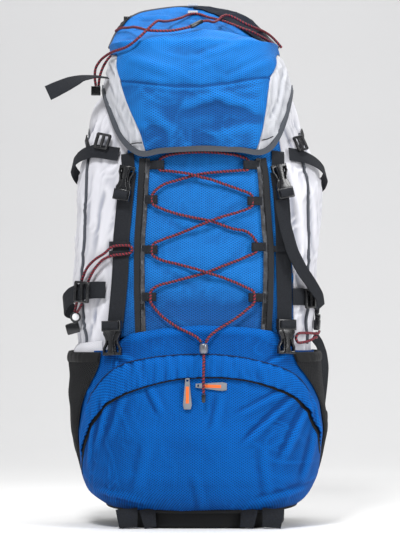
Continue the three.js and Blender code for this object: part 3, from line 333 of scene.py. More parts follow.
def creases(seed, s, t, size, slant, stretch=2.4):
    """Small sharp ridges that run in the direction of slant, in patches, from 0 to about 2."""
    random = np.random.default_rng(seed)
    total = 0
    for level in range(3):
        turn = slant + random.uniform(-0.45, 0.45)
        pitch = size * (1 - 0.22 * level)
        along = s * math.cos(turn) + t * math.sin(turn)
        across = t * math.cos(turn) - s * math.sin(turn)
        bend = 0.45 * pitch * waves(seed + 11 + level, s, t, pitch * 2.6, 8)
        ridge = (1 - np.abs(np.sin((across + bend) * math.pi / pitch + random.uniform(0, 3)))) ** 2
        patch = np.clip(0.9 * waves(seed + 31 + level, along / stretch, across, pitch * 1.7, 8), 0, 1)
        total = total + ridge * patch
    return total


def picture_line(x0, y0, x1, y1, width, height):
    """A fold between two places of the picture, as distances across and heights."""
    return ((x0 - PICTURE_MIDDLE) * PIXEL, (PICTURE_FLOOR - y0) * PIXEL, (x1 - PICTURE_MIDDLE) * PIXEL,
            (PICTURE_FLOOR - y1) * PIXEL, width, height)


print("waves:", np.round(waves(1, np.arange(3.0), np.arange(3.0), 40), 2))

# %% [markdown]
# Materials are made once and shared. The blue cloth of the real pack is a fine weave with a small diamond
# pattern in it. Ripples over the cloth's own UV map draw it: the map counts millimetres, so the pattern has
# its true size, and it follows each panel as woven cloth does. Slow noise makes the colour uneven.

# %% Material tools
def new_material(name, roughness=0.8):
    material = bpy.data.materials.new(name)
    material.use_nodes = True
    shader = material.node_tree.nodes["Principled BSDF"]
    shader.inputs["Roughness"].default_value = roughness
    return material, material.node_tree, shader


def add_node(tree, kind, inputs=None, **settings):
    node = tree.nodes.new(kind)
    for key, value in settings.items():
        setattr(node, key, value)
    for key, value in (inputs or {}).items():
        if isinstance(value, bpy.types.NodeSocket):
            tree.links.new(value, node.inputs[key])
        else:
            node.inputs[key].default_value = value
    return node


def compute(tree, operation, first, second=0.0, third=0.0):
    node = add_node(tree, "ShaderNodeMath", {0: first, 1: second, 2: third}, operation=operation)
    return node.outputs[0]


def colour_ramp(tree, factor, stops):
    node = add_node(tree, "ShaderNodeValToRGB", {"Fac": factor})
    elements = node.color_ramp.elements
    elements[0].position, elements[0].color = stops[0]
    elements[1].position, elements[1].color = stops[-1]
    for position, colour in stops[1:-1]:
        elements.new(position).color = colour
    return node.outputs[0]


def linear(red, green, blue):
    shares = [value / 255 for value in (red, green, blue)]
    return [v / 12.92 if v <= 0.04045 else ((v + 0.055) / 1.055) ** 2.4 for v in shares] + [1]


def scaled_colour(colour, factor):
    return [min(1, value * factor) for value in colour[:3]] + [1]


def noise(tree, vector, scale, detail=3, roughness=0.55):
    inputs = {"Vector": vector, "Scale": scale, "Detail": detail, "Roughness": roughness}
    return add_node(tree, "ShaderNodeTexNoise", inputs).outputs[0]


def bump(tree, shader, height, strength, distance):
    inputs = {"Height": height, "Strength": strength, "Distance": distance * MM}
    node = add_node(tree, "ShaderNodeBump", inputs)
    tree.links.new(node.outputs[0], shader.inputs["Normal"])
    return node


def place_of(tree):
    return add_node(tree, "ShaderNodeTexCoord").outputs["Object"]


def cloth_map(tree):
    split = add_node(tree, "ShaderNodeSeparateXYZ", {0: add_node(tree, "ShaderNodeTexCoord").outputs["UV"]})
    return split.outputs[0], split.outputs[1]


def ripple(tree, value, pitch):
    """One smooth rise and fall for each pitch, from 0 to 1."""
    turned = compute(tree, "MULTIPLY", value, 2 * math.pi / pitch)
    return compute(tree, "MULTIPLY_ADD", compute(tree, "SINE", turned), 0.5, 0.5)


print("material tools ready")

# %% [markdown]
# Woven cloth: two crossing ripples give the threads, and two slanting ones give the diamonds. They only
# lift the surface a few hundredths of a millimetre and shift the colour a little, which is what a weave
# does at this distance. The sheen is the soft light that stands off the fibres at the edges. The depth of
# each point below its surroundings darkens the colour as painted shade in the folds and lightens it as a
# painted highlight on the ridges; fold sets how strong it is.

# %% Cloth materials
def woven(name, colour, dark, diamond=3.6, thread=1.1, roughness=0.72, sheen=0.12, pattern=0.5, lift=0.14,
          fold=0.16, gloss=0.3, wide=1.0):
    material, tree, shader = new_material(name, roughness)
    across, up = cloth_map(tree)
    warp, weft = ripple(tree, across, thread), ripple(tree, up, thread)
    threads = compute(tree, "MULTIPLY", warp, weft)
    flat = compute(tree, "MULTIPLY", across, 1 / wide)
    slant = ripple(tree, compute(tree, "ADD", flat, up), diamond)
    other = ripple(tree, compute(tree, "SUBTRACT", flat, up), diamond)
    diamonds = compute(tree, "MAXIMUM", slant, other)
    place = place_of(tree)
    fade = noise(tree, place, 9)
    grain = noise(tree, place, 700, 2)
    mix = compute(tree, "MULTIPLY_ADD", diamonds, pattern, compute(tree, "MULTIPLY_ADD", fade, 0.5, -0.45))
    mix = compute(tree, "MULTIPLY_ADD", grain, 0.3, mix)
    shade = colour_ramp(tree, mix, [(0.0, dark), (0.75, colour)])
    # Painted shade in the hollows and painted highlight on the ridges, from each point's depth.
    hollow = add_node(tree, "ShaderNodeAttribute", attribute_name="hollow").outputs["Fac"]
    painted_light_level = compute(tree, "MULTIPLY_ADD", hollow, -fold, 0.5)
    stops = [(0.0, [0.42, 0.44, 0.50, 1]), (0.5, [0.86, 0.86, 0.86, 1]), (1.0, [1.0, 1.0, 1.0, 1])]
    painted_shade_tint = colour_ramp(tree, painted_light_level, stops)
    blend = add_node(tree, "ShaderNodeMix", {0: 1.0, 6: shade, 7: painted_shade_tint}, data_type="RGBA",
                     blend_type="MULTIPLY")
    tree.links.new(blend.outputs[2], shader.inputs["Base Color"])
    shader.inputs["Sheen Weight"].default_value = sheen
    shader.inputs["Sheen Roughness"].default_value = 0.45
    shader.inputs["Specular IOR Level"].default_value = gloss
    height = compute(tree, "MULTIPLY_ADD", threads, 0.5, compute(tree, "MULTIPLY", diamonds, 0.8))
    height = compute(tree, "MULTIPLY_ADD", grain, 0.3, height)
    bump(tree, shader, height, 0.8, lift)
    return material


DIAMONDS = {"diamond": 3.7, "wide": 1.5, "pattern": 0.95, "lift": 0.4}
blue = woven("blue_cloth", linear(16, 122, 208), linear(0, 44, 108), sheen=0.03, gloss=0.2, fold=0.16,
             **DIAMONDS)
# A darker copy of the blue cloth as painted shade, for the lower compartment and its flap.
shaded_blue = woven("blue_cloth_painted_shade", linear(0, 98, 186), linear(0, 34, 88), sheen=0, gloss=0.1, fold=0.18,
                  **DIAMONDS)
white = woven("white_cloth", linear(236, 236, 240), linear(210, 210, 218), pattern=0.3, lift=0.08, fold=0.12)
# A darker copy of the white cloth as painted shade, for the white sides of the lid.
shaded_white = woven("white_cloth_painted_shade", linear(210, 211, 215), linear(184, 186, 193), pattern=0.3, lift=0.08,
                  fold=0.16)
black = woven("black_cloth", linear(18, 19, 21), linear(8, 8, 10), diamond=2.6, pattern=0.5, sheen=0.03)
grey = woven("binding_cloth", linear(92, 96, 104), linear(62, 66, 73), diamond=1.8, thread=0.9, sheen=0.05)
navy = woven("navy_cloth", linear(6, 36, 84), linear(2, 16, 44), pattern=0.5)
# Dark navy for the storm flap, which also stands in as painted shade over the lid's valley.
storm_flap_navy_shade = woven("navy_cloth_and_painted_shade", linear(10, 22, 42), linear(4, 9, 20), pattern=0.6, gloss=0.15, sheen=0)
pad_cloth = woven("pad_cloth", linear(34, 36, 40), linear(19, 20, 23), diamond=4.2, pattern=0.7, lift=0.25,
                  sheen=0.03)
print("cloth:", [m.name for m in (blue, white, black, grey, pad_cloth)])

# %% [markdown]
# Webbing is woven much more coarsely: fine ribs run across it in a herringbone, and its edges are a little
# thicker. The map runs across the strap in millimetres, with zero in its middle, so that the ribs can turn
# there. Cord is braided: slanting ripples round it, with flecks of red in the black.

# %% Webbing, cord, mouldings and metal
def webbing_material(name, colour, dark):
    material, tree, shader = new_material(name, 0.78)
    across, along = cloth_map(tree)
    slope = compute(tree, "PINGPONG", across, 3.2)
    ribs = ripple(tree, compute(tree, "MULTIPLY_ADD", slope, 0.9, along), 1.7)
    lines = ripple(tree, across, 1.6)
    grain = noise(tree, place_of(tree), 500, 2)
    mix = compute(tree, "MULTIPLY_ADD", ribs, 0.5, compute(tree, "MULTIPLY", grain, 0.5))
    tree.links.new(colour_ramp(tree, mix, [(0.15, dark), (0.85, colour)]), shader.inputs["Base Color"])
    shader.inputs["Specular IOR Level"].default_value = 0.25
    height = compute(tree, "MULTIPLY_ADD", ribs, 0.7, compute(tree, "MULTIPLY", lines, 0.4))
    bump(tree, shader, height, 1.0, 0.6)
    return material


def braided(name, colour, fleck, share):
    material, tree, shader = new_material(name, 0.6)
    round_it, along = cloth_map(tree)
    one = ripple(tree, compute(tree, "ADD", round_it, along), 3.1)
    other = ripple(tree, compute(tree, "SUBTRACT", round_it, along), 3.1)
    strands = compute(tree, "MAXIMUM", one, other)
    spiral = ripple(tree, compute(tree, "SUBTRACT", compute(tree, "MULTIPLY", round_it, 0.5), along), 4.8)
    flecks = compute(tree, "GREATER_THAN", spiral, 1 - share)
    mixed = add_node(tree, "ShaderNodeMix", {0: flecks, 6: colour, 7: fleck}, data_type="RGBA")
    strand = colour_ramp(tree, strands, [(0.35, linear(70, 70, 70)), (0.9, linear(255, 255, 255))])
    shaded = add_node(tree, "ShaderNodeMix", {0: 1.0, 6: mixed.outputs[2], 7: strand},
                      data_type="RGBA", blend_type="MULTIPLY")
    tree.links.new(shaded.outputs[2], shader.inputs["Base Color"])
    bump(tree, shader, strands, 1.0, 0.4)
    return material


def moulded(name, colour, roughness, grain_size=900, lift=0.04, metallic=0.0):
    material, tree, shader = new_material(name, roughness)
    place = place_of(tree)
    grain = noise(tree, place, grain_size, 2)
    worn = noise(tree, place, 60, 3)
    mix = compute(tree, "MULTIPLY_ADD", worn, 0.7, compute(tree, "MULTIPLY", grain, 0.3))
    stops = [(0.2, scaled_colour(colour, 0.75)), (0.8, scaled_colour(colour, 1.25))]
    tree.links.new(colour_ramp(tree, mix, stops), shader.inputs["Base Color"])
    shader.inputs["Metallic"].default_value = metallic
    rough = compute(tree, "MULTIPLY_ADD", worn, 0.2, roughness - 0.1)
    tree.links.new(rough, shader.inputs["Roughness"])
    bump(tree, shader, grain, 0.5, lift)
    return material


strapping = webbing_material("webbing", linear(44, 47, 54), linear(9, 10, 12))
red_cord = braided("red_cord", linear(30, 22, 34), linear(160, 18, 46), 0.5)
plastic = moulded("moulded_plastic", linear(22, 23, 26), 0.27)
plastic.node_tree.nodes["Principled BSDF"].inputs["Specular IOR Level"].default_value = 0.6
button_white = moulded("button", linear(225, 225, 228), 0.4)
metal = moulded("lock_metal", linear(128, 130, 138), 0.3, metallic=0.7)
pull_rubber = moulded("pull", linear(120, 123, 130), 0.6)
orange = moulded("orange_stripe", linear(235, 105, 40), 0.6)
net_thread = moulded("net_thread", linear(20, 21, 24), 0.8)
print("materials:", len(bpy.data.materials))

# %% [markdown]
# The cords are braided elastic and round, 4 mm thick. Each follows listed points over the cloth and
# through its loops. A smooth curve through the points gives the middle line, and a ring of points is
# carried along it without twisting. The tube is one mesh.

# %% Cord tools
CORD = 4.0
CORD_SIDES = 12


def smooth_line(points, step=1.6):
    points = np.array(points, float)
    gaps = np.linalg.norm(np.diff(points, axis=0), axis=1) ** 0.5
    knots = np.concatenate([[0], np.cumsum(gaps)])
    before = points[0] * 2 - points[1]
    after = points[-1] * 2 - points[-2]
    full = np.vstack([before, points, after])
    times = np.concatenate([[-gaps[0]], knots, [knots[-1] + gaps[-1]]])
    line = []
    for i in range(1, len(full) - 2):
        t0, t1, t2, t3 = times[i - 1:i + 3]
        count = max(2, int(np.linalg.norm(full[i + 1] - full[i]) / step))
        for t in np.linspace(t1, t2, count, endpoint=False):
            a1 = (t1 - t) / (t1 - t0) * full[i - 1] + (t - t0) / (t1 - t0) * full[i]
            a2 = (t2 - t) / (t2 - t1) * full[i] + (t - t1) / (t2 - t1) * full[i + 1]
            a3 = (t3 - t) / (t3 - t2) * full[i + 1] + (t - t2) / (t3 - t2) * full[i + 2]
            b1 = (t2 - t) / (t2 - t0) * a1 + (t - t0) / (t2 - t0) * a2
            b2 = (t3 - t) / (t3 - t1) * a2 + (t - t1) / (t3 - t1) * a3
            line.append((t2 - t) / (t2 - t1) * b1 + (t - t1) / (t2 - t1) * b2)
    line.append(points[-1])
    return np.array(line)


def carried_frames(line):
    along = np.gradient(line, axis=0)
    along /= np.linalg.norm(along, axis=1, keepdims=True)
    side = np.array([1.0, 0, 0]) if abs(along[0, 0]) < 0.9 else np.array([0, 0, 1.0])
    sides = []
    for direction in along:
        side = side - direction * side.dot(direction)
        side = side / np.linalg.norm(side)
        sides.append(side)
    sides = np.array(sides)
    return sides, np.cross(along, sides)


def run_along(line):
    return np.concatenate([[0], np.cumsum(np.linalg.norm(np.diff(line, axis=0), axis=1))])


def ring_faces(count, size, base=0):
    """Faces that join count rings of size points each, with a face on either end."""
    faces = []
    for i in range(count - 1):
        for k in range(size):
            m = (k + 1) % size
            low, high = base + i * size, base + (i + 1) * size
            faces.append((low + k, low + m, high + m, high + k))
    last = base + (count - 1) * size
    return faces + [tuple(reversed(range(base, base + size))), tuple(range(last, last + size))]


def skin_of(name, points, faces, maps=None):
    mesh = bpy.data.meshes.new(name)
    mesh.from_pydata((np.asarray(points) * MM).tolist(), [], faces)
    if maps:
        mesh.uv_layers.new(name="UVMap").data.foreach_set("uv", np.array(maps, float).ravel())
    piece = bpy.data.objects.new(name, mesh)
    bpy.context.collection.objects.link(piece)
    in_edit_mode(piece, turn_outward)
    return piece


def tube(name, line, radius, sides=CORD_SIDES):
    line = np.asarray(line, float)
    side, up = carried_frames(line)
    run = run_along(line)
    radius = np.broadcast_to(radius, len(line))
    turns = np.arange(sides) / sides * 2 * math.pi
    ring = np.cos(turns)[None, :, None] * side[:, None, :] + np.sin(turns)[None, :, None] * up[:, None, :]
    points = line[:, None, :] + ring * radius[:, None, None]
    count = len(line)
    maps = []
    width = 2 * math.pi * float(radius[0])
    for i in range(count - 1):
        for k in range(sides):
            low, high = k / sides * width, (k + 1) / sides * width
            maps += [(low, run[i]), (high, run[i]), (high, run[i + 1]), (low, run[i + 1])]
    maps += [(0, 0)] * (2 * sides)
    piece = skin_of(name, points.reshape(-1, 3), ring_faces(count, sides), maps)
    smooth_edges(piece, 60)
    return piece


def length_of(line):
    return float(run_along(line)[-1])


print("cord tools ready")

# %% [markdown]
# The front lacing is one elastic cord. It starts at the barrel lock, climbs the left side through the
# loops, crosses over itself on the way up and comes down again to the lock. Where it crosses, one run lies
# on top of the other, so the points of the upper run lie a cord's thickness further out.

# %% Front lacing
LACE_ROUTE = [
    (0.8, -156.3, 278.2), (-5, -155, 284.8), (-20, -150.4, 293.4), (-34.2, -147.6, 300.1),
    (-47.3, -144.9, 308.7), (-58.3, -140.6, 317.3), (-68.4, -138.6, 328.3), (-74.2, -138.1, 337.4),
    (-74.5, -137.4, 345.4), (-74.2, -136.9, 353.3), (-64.3, -136.3, 361.2), (-43.1, -136.3, 367.2),
    (-2, -136.3, 378.1), (8, -136.2, 381.1), (36.1, -135.4, 392.1), (66.4, -133.3, 404.1),
    (81.2, -132.6, 411.9), (82.8, -131.9, 419.2), (81.4, -131.9, 427.1), (68.4, -131.9, 441.1),
    (46.1, -133, 446.1), (15, -133.3, 457.1), (-15, -133.1, 463.1), (-43.1, -132.4, 470.1),
    (-62.3, -131.6, 477.2), (-71, -131.8, 482.2), (-72.5, -131.3, 489.2), (-71.5, -131.1, 497.2),
    (-57.2, -130.3, 510.2), (-33.1, -130.4, 518.2), (-1.5, -130.1, 526.7), (30.1, -129.7, 530.2),
    (58.3, -129.1, 532.3), (69.8, -128.8, 533.8), (70.6, -128.2, 540.4), (69.6, -127.6, 547.5),
    (57.3, -127.3, 553.4), (36.1, -127.8, 557.4), (-1.5, -128, 559.4), (-33.1, -127.9, 557.4),
    (-52.2, -127.9, 553.4), (-61.7, -128.7, 547.4), (-62.4, -129.3, 540.4), (-61.8, -129.7, 533.4),
    (-46.2, -130, 531.3), (-15, -134.6, 526.5), (-1.5, -135.2, 522.5), (15, -134.9, 518.4),
    (33.1, -132, 512.2), (58.3, -130.7, 503.2), (74.1, -130.6, 496.2), (76.6, -130.7, 487.2),
    (75.1, -131.2, 479.2), (57.2, -131.9, 471.1), (33.1, -135.7, 464.2), (15, -138.1, 457.8),
    (-1.5, -137.1, 451.2), (-33.1, -133.9, 438.1), (-58.2, -133.4, 429.1), (-70.5, -134, 422.7),
    (-72.5, -134.1, 415.2), (-71.5, -134.5, 407.2), (-60.3, -134.6, 400.2), (-33.1, -135.7, 393.1),
    (-4, -140, 385.3), (8, -141, 381.3), (36.1, -137.5, 372.2), (66.4, -135.4, 359.2),
    (77.8, -136.2, 352.3), (79, -136.7, 344.4), (78.2, -137.3, 336.4), (66.5, -138.2, 325.3),
    (48.4, -142.9, 311.5), (28.2, -148.3, 299.2), (13, -154, 287.5), (6.9, -156.3, 278.2),
]
LACE_TAIL_ROUTE = [
    (4, -157.4, 259.3), (4, -162.5, 256.6), (4, -166.5, 251), (3.8, -169.5, 241), (3.6, -170, 230),
    (3.5, -169, 220), (3.6, -167.6, 211), (3.8, -166.4, 203),
]
LID_CORD_ROUTE = [
    (-158, -62, 661.4), (-159.5, -64, 674), (-158, -65, 688), (-151, -68, 699), (-142, -76, 706),
    (-130, -104, 710), (-108, -131, 716), (-92, -137, 728), (-78, -130, 742), (-66, -114, 754),
    (-56, -78, 757), (-45, -34, 762), (-30, -12, 768), (-15, 12, 776), (-4, 12, 775.8), (12, 0, 769.6),
    (27, -14, 765), (49, -31, 756), (62, -38, 750), (76, -36, 745), (90, -26, 739), (104, -8, 732.2),
    (113, 4, 726.1),
]
CROSS_CORD_ROUTE = [
    (-130, 12, 750), (-122, -14, 752), (-110, -48, 750), (-100, -84, 748), (-90, -112, 744),
    (-78, -130, 739.5), (-64, -139, 738), (-43, -139, 738.5), (-15, -132, 745), (0, -120, 753), (10, -100, 756),
    (18, -66, 757), (27, -27, 764), (33, -18, 770), (40, -10, 772), (51, -11, 768), (65, -14, 760),
    (80, -6, 754), (96, 22, 750), (107, 35, 744), (116, 43, 736), (124, 47, 727),
]
SIDE_CORD_LEFT_ROUTE = [
    (-189.3, -71.7, 321.6), (-186.9, -77.7, 331.7), (-183.7, -83.2, 344.8), (-180.4, -88.8, 359.0),
    (-176.7, -92.9, 372.2), (-170.1, -98.9, 387.3), (-158.4, -107.9, 399.8), (-143.7, -116.4, 409.3),
    (-131.4, -121.4, 419.2), (-115.3, -126.7, 421.2), (-105.0, -129.4, 420.2), (-101.5, -130.4, 415.2),
    (-105.3, -129.7, 410.2), (-115.7, -127.2, 408.2), (-130.4, -122.4, 406.3), (-145.3, -116.0, 400.3),
    (-157.5, -109.4, 387.3), (-166.4, -103.5, 371.2), (-171.7, -99.0, 357.1), (-175.5, -94.9, 342.9),
    (-179.7, -89.8, 330.8), (-185.2, -81.3, 321.7),
]
SIDE_CORD_RIGHT_ROUTE = [
    (178, -56, 292.5), (175.5, -66, 289.5), (165.3, -82.2, 290.2), (151.3, -104, 291), (144, -112, 290),
    (141, -115.2, 284), (144, -112.6, 277.5), (150.4, -105.3, 277), (164, -86, 280), (171.5, -76, 284),
    (174, -65, 283.5),
]
LID_RETURN_ROUTE = [
    (-136, -56, 707), (-141, -60, 700.5), (-147, -61.5, 690), (-151.5, -60.5, 678), (-153.5, -58.5, 667),
    (-154, -57, 661.6),
]


def lay_cord(name, route, *replaced, **facts):
    line = smooth_line(route)
    piece = tube(name, line, CORD / 2)
    finish_piece(piece, "cord", red_cord, *replaced)
    print(name, "length", round(length_of(line)), "mm")


lay_cord("front_lacing", LACE_ROUTE, "front_lace")

# %% [markdown]
# The other cords are loose. The lacing's tail hangs out of the lock to a moulded tip. Two cords cross the
# lid, and one of them comes down to its lock in two strands. A doubled cord on each side tightens the lower
# part.

# %% Loose cords
lay_cord("lacing_tail", LACE_TAIL_ROUTE, "lace_tail", far_end="fitting", stiffness="limp",
         lay="hanging", with_pieces=("lace_tip",))
lay_cord("lid_cord_line", LID_CORD_ROUTE[::-1], "lid_cord", far_end="fitting", stiffness="limp",
         lay="loose", with_pieces=("lid_cord_lock",))
lay_cord("lid_cord_return", LID_RETURN_ROUTE, far_end="fitting", stiffness="limp", lay="loose",
         with_pieces=("lid_cord_lock",))
lay_cord("lid_cross_line", CROSS_CORD_ROUTE, "lid_cross_cord", far_end="object", stiffness="limp",
         lay="loose")
lay_cord("side_line_left", SIDE_CORD_LEFT_ROUTE, "side_cord_left", far_end="object",
         stiffness="limp", lay="loose", with_pieces=("side_lock_left",))
lay_cord("side_line_right", SIDE_CORD_RIGHT_ROUTE, "side_cord_right", far_end="object",
         stiffness="limp", lay="loose", with_pieces=("side_lock_right",))

# %% [markdown]
# The skin of the sack is five panels. All of them share one height, so that the straps and the tapes can
# lie on the same waves. The waves mostly go inwards, because the straps press the cloth and nothing pushes
# it out between them. The white sides are looser and wrinkle most near the seams.

# %% Sack panels
CLOTH = 2.0
LIFT = 0.8
SIDE_FOOT = 262.0
BACK_SEAM = 140 * DEGREE
SIDE_WRINKLES = [
    picture_line(96, 96, 88, 128, 5, 2.2), picture_line(100, 118, 84, 150, 4, 1.8),
    picture_line(112, 130, 104, 166, 5, 1.6), picture_line(98, 168, 92, 230, 7, 1.6),
    picture_line(112, 190, 98, 262, 9, 1.8), picture_line(84, 200, 78, 280, 6, 1.5),
    picture_line(106, 300, 92, 345, 8, 2.0), picture_line(82, 250, 88, 330, 6, 1.4),
    picture_line(294, 92, 304, 132, 5, 2.4), picture_line(285, 118, 298, 150, 4, 1.8),
    picture_line(303, 120, 316, 158, 4, 1.6), picture_line(296, 178, 304, 250, 8, 1.8),
    picture_line(314, 190, 318, 260, 5, 1.6), picture_line(300, 260, 312, 330, 7, 1.8),
    picture_line(316, 280, 308, 340, 6, 1.4),
]
FRONT_WRINKLES = [
    picture_line(160, 172, 196, 180, 9, 1.3), picture_line(244, 176, 210, 184, 9, 1.2),
    picture_line(160, 208, 204, 232, 10, 1.3), picture_line(246, 208, 208, 236, 10, 1.2),
    picture_line(158, 256, 200, 282, 10, 1.4), picture_line(250, 254, 214, 284, 10, 1.2),
    picture_line(156, 306, 190, 326, 8, 1.2), picture_line(254, 304, 226, 322, 8, 1.2),
]


def sack_waves(angle, z):
    point = on_skin(SACK, angle, z)
    x, y = point[..., 0], point[..., 1]
    front = y < -20
    slow = 0.8 * waves(4, length_at(angle), z, 120) - 0.8
    fine = 0.12 * waves(9, length_at(angle), z, 30)
    side = np.where(front & (np.abs(x) > 120), folds(x, z, SIDE_WRINKLES), 0)
    middle = np.where(front & (np.abs(x) < 125), folds(x, z, FRONT_WRINKLES), 0)
    rough = np.where(np.abs(angle) > 60 * DEGREE, 3.0, 1.0)
    on_side = np.clip((np.abs(x) - 118) / 12, 0, 1)
    crease = (2.4 * on_side + 0.5) * (creases(131, length_at(angle), z, 26, 1.35) - 0.5)
    sink = -6.0 * np.exp(-((z - 322) / 30) ** 2) * np.clip(1 - (x / 100) ** 4, 0, 1) * front
    return np.minimum(0.55, slow + fine * rough + 1.7 * side + 0.9 * middle + crease) + sink


FRONT_SEAM = np.array([
    # height, then how far out the seam lies on the left and on the right
    (285, 137.5, 138), (330, 136, 138), (420, 128, 136), (480, 120, 130), (540, 111, 122), (668, 100, 104),
])


def front_edge(side, z):
    return side * np.interp(z, FRONT_SEAM[:, 0], FRONT_SEAM[:, 1 if side < 0 else 2])


def sack_panel(name, start, end, low, high, columns, rows, lift=0.0):
    def place(u, v):
        z = low + (high - low) * v
        angle = even_angle(start(z), end(z), u)
        return above(SACK, angle, z, sack_waves(angle, z) + lift)
    middle = np.array([(low + high) / 2])
    width = float(length_at(end(middle))[0] - length_at(start(middle))[0])
    return cloth(name, columns, rows, place, (width, high - low), CLOTH)


def seam_angle(side, gap=0.0):
    return lambda z: angle_at(SACK, front_edge(side, z) + side * gap, z)


def fixed(angle):
    return lambda z: np.full_like(z, angle)


FRONT_FOOT, BLACK_TOP, BLACK_EDGE = 285, 261.2, 81 * DEGREE
front_cloth = sack_panel("front_cloth", seam_angle(-1), seam_angle(1), FRONT_FOOT, SACK_HEIGHT, 92, 110)
# Painted shade: darker above the compartment's lip, under the lid and beside the zip tapes.
shade(front_cloth, lambda x, y, z: 2.7 * np.clip((392 - z) / 70, 0, 1) ** 1.5
      + 1.2 * np.clip((z - 535) / 25, 0, 1) + 0.8 * np.clip((np.abs(x) - 96) / 14, 0, 1))
finish_piece(front_cloth, "blue_cloth", blue, "front_panel")
for name, side in SIDES:
    ends = [fixed(side * BACK_SEAM), seam_angle(side, 0.8)][::-side]
    side_cloth = sack_panel("side_cloth_" + name, *ends, SIDE_FOOT, SACK_HEIGHT, 84, 110)
    finish_piece(side_cloth, "white_cloth", white, "side_panel_" + name)
for name, side in SIDES:
    ends = [fixed(side * BACK_SEAM), fixed(side * BLACK_EDGE)][::-side]
    low_cloth = sack_panel("lower_cloth_" + name, *ends, SACK_FOOT, BLACK_TOP, 40, 60)
    finish_piece(low_cloth, "black_cloth", black, "lower_side_" + name)


def back_place(u, v):
    z = SACK_FOOT + (SACK_HEIGHT - SACK_FOOT) * v
    start = np.full_like(z, BACK_SEAM + 0.01)
    angle = even_angle(start, 2 * math.pi - start, u)
    return above(SACK, angle, z, 0.5 * waves(14, u * 250, z, 80) - 0.6)


back_cloth = cloth("back_cloth", 64, 130, back_place, (260, SACK_HEIGHT - SACK_FOOT), CLOTH)
finish_piece(back_cloth, "black_cloth", black, "back_panel")
print("panels:", [len(p.data.polygons) for p in (front_cloth, side_cloth, low_cloth, back_cloth)])

# %% [markdown]
# The lower compartment is a stuffed bag with a door. Its top edge is sewn over the foot of the front panel
# and shows as a lip. The door's cloth is pulled by the zip above it, so folds fan out from the ends of the
# arch and run down and inwards. Each is drawn between two places of the picture.

# %% Lower compartment
COMPARTMENT_HEIGHT = 300
COMPARTMENT_ANGLE = 84 * DEGREE
COMPARTMENT_TOP = np.array([
    (-1.2, 0.873), (-0.75, 0.885), (-0.56, 0.965), (-0.30, 0.995), (0.0, 1.01), (0.35, 1.0), (0.55, 0.98),
    (0.75, 0.885), (1.2, 0.873),
])
DOOR_FOLDS = [
    picture_line(294, 394, 243, 441, 6, 3.4), picture_line(306, 402, 280, 456, 7, 3.2),
    picture_line(286, 388, 236, 414, 6, 2.0), picture_line(316, 420, 300, 480, 7, 2.4),
    picture_line(112, 396, 100, 448, 6, 2.8), picture_line(98, 412, 92, 470, 5, 2.4),
    picture_line(128, 391, 112, 440, 7, 1.8), picture_line(150, 384, 164, 412, 6, 2.2),
    picture_line(196, 470, 204, 504, 8, 1.4), picture_line(150, 440, 140, 490, 10, 1.6),
    picture_line(262, 446, 268, 494, 9, 1.6), picture_line(222, 392, 214, 430, 8, 1.4),
    picture_line(100, 486, 150, 497, 6, 1.8), picture_line(306, 484, 250, 498, 6, 1.8),
    picture_line(112, 350, 140, 362, 5, 1.6), picture_line(286, 352, 262, 366, 5, 1.6),
]


def door_height(angle, z):
    point = on_skin(SACK, angle, z)
    fade = np.clip(1.15 - np.abs(angle / (80 * DEGREE)) ** 6, 0, 1)
    x = point[..., 0]
    fan = 1.25 - 0.45 * x / 150
    edge = 0.5 + 1.3 * np.clip((np.abs(x) - 40) / 90, 0, 1)
    crease = edge * (creases(141, x * fan, z, 32, 1.9) - 0.4) * np.where(x < 0, 0.6, 0.8)
    shape = 1.1 * folds(x, z, DOOR_FOLDS) + 0.7 * waves(21, x, z, 95) + crease
    fine = 0.08 * waves(23, length_at(angle), z, 26)
    swell = 1.8 * np.sin(math.pi * np.clip(z / COMPARTMENT_HEIGHT, 0, 1))
    return np.maximum(LIFT + CLOTH, LIFT + CLOTH + 1.2 + swell + (shape + fine) * fade)


def compartment_top(x):
    return COMPARTMENT_HEIGHT * np.interp(x / 188, COMPARTMENT_TOP[:, 0], COMPARTMENT_TOP[:, 1])


def compartment_place(u, v):
    angle = even_angle(-COMPARTMENT_ANGLE, COMPARTMENT_ANGLE, u)
    top = compartment_top(on_skin(SACK, angle, np.full_like(u, 300.0))[:, 0])
    z = SACK_FOOT + (top - SACK_FOOT) * v
    lip = np.exp(-((top - z) / 5) ** 2)
    height = door_height(angle, z) * (1 - lip) + (LIFT + CLOTH + 0.8) * lip
    x = on_skin(SACK, angle, z)[..., 0]
    height = height + 3.2 * np.exp(-((np.abs(x) - 93) / 13) ** 2 - ((top - z) / 16) ** 2)
    height = height + 1.6 * np.exp(-((top - z - 7) / 5) ** 2) * np.clip(1 - (x / 110) ** 6, 0, 1)
    return above(SACK, angle, z, height)


door_cloth = cloth("compartment_cloth", 190, 110, compartment_place, (480, 270), CLOTH)
# Painted shade at the sides, towards the foot and in a band below the top, and a painted highlight along the
# lip's top edge.
shade(door_cloth, lambda x, y, z: 1.4 * np.clip((np.abs(x) - 85) / 50, 0, 1)
      + 1.5 * np.clip((95 - z) / 60, 0, 1) + 0.9 * np.exp(-((z - 268) / 22) ** 2)
      - 1.2 * np.exp(-((z - 298) / 5) ** 2))
finish_piece(door_cloth, "blue_cloth", shaded_blue, "lower_compartment")
print("compartment:", len(door_cloth.data.polygons), "faces")

# %% [markdown]
# An arched flap covers the zip of that door. Its upper edge is sewn down and its lower edge stands off a
# little over the zip, with a shadow under it. The stitching gathers it in small puckers across its width.
# The black zip tape lies under its lower edge; it reaches further below the flap towards the ends, where it
# also stands in as painted shadow under the flap.

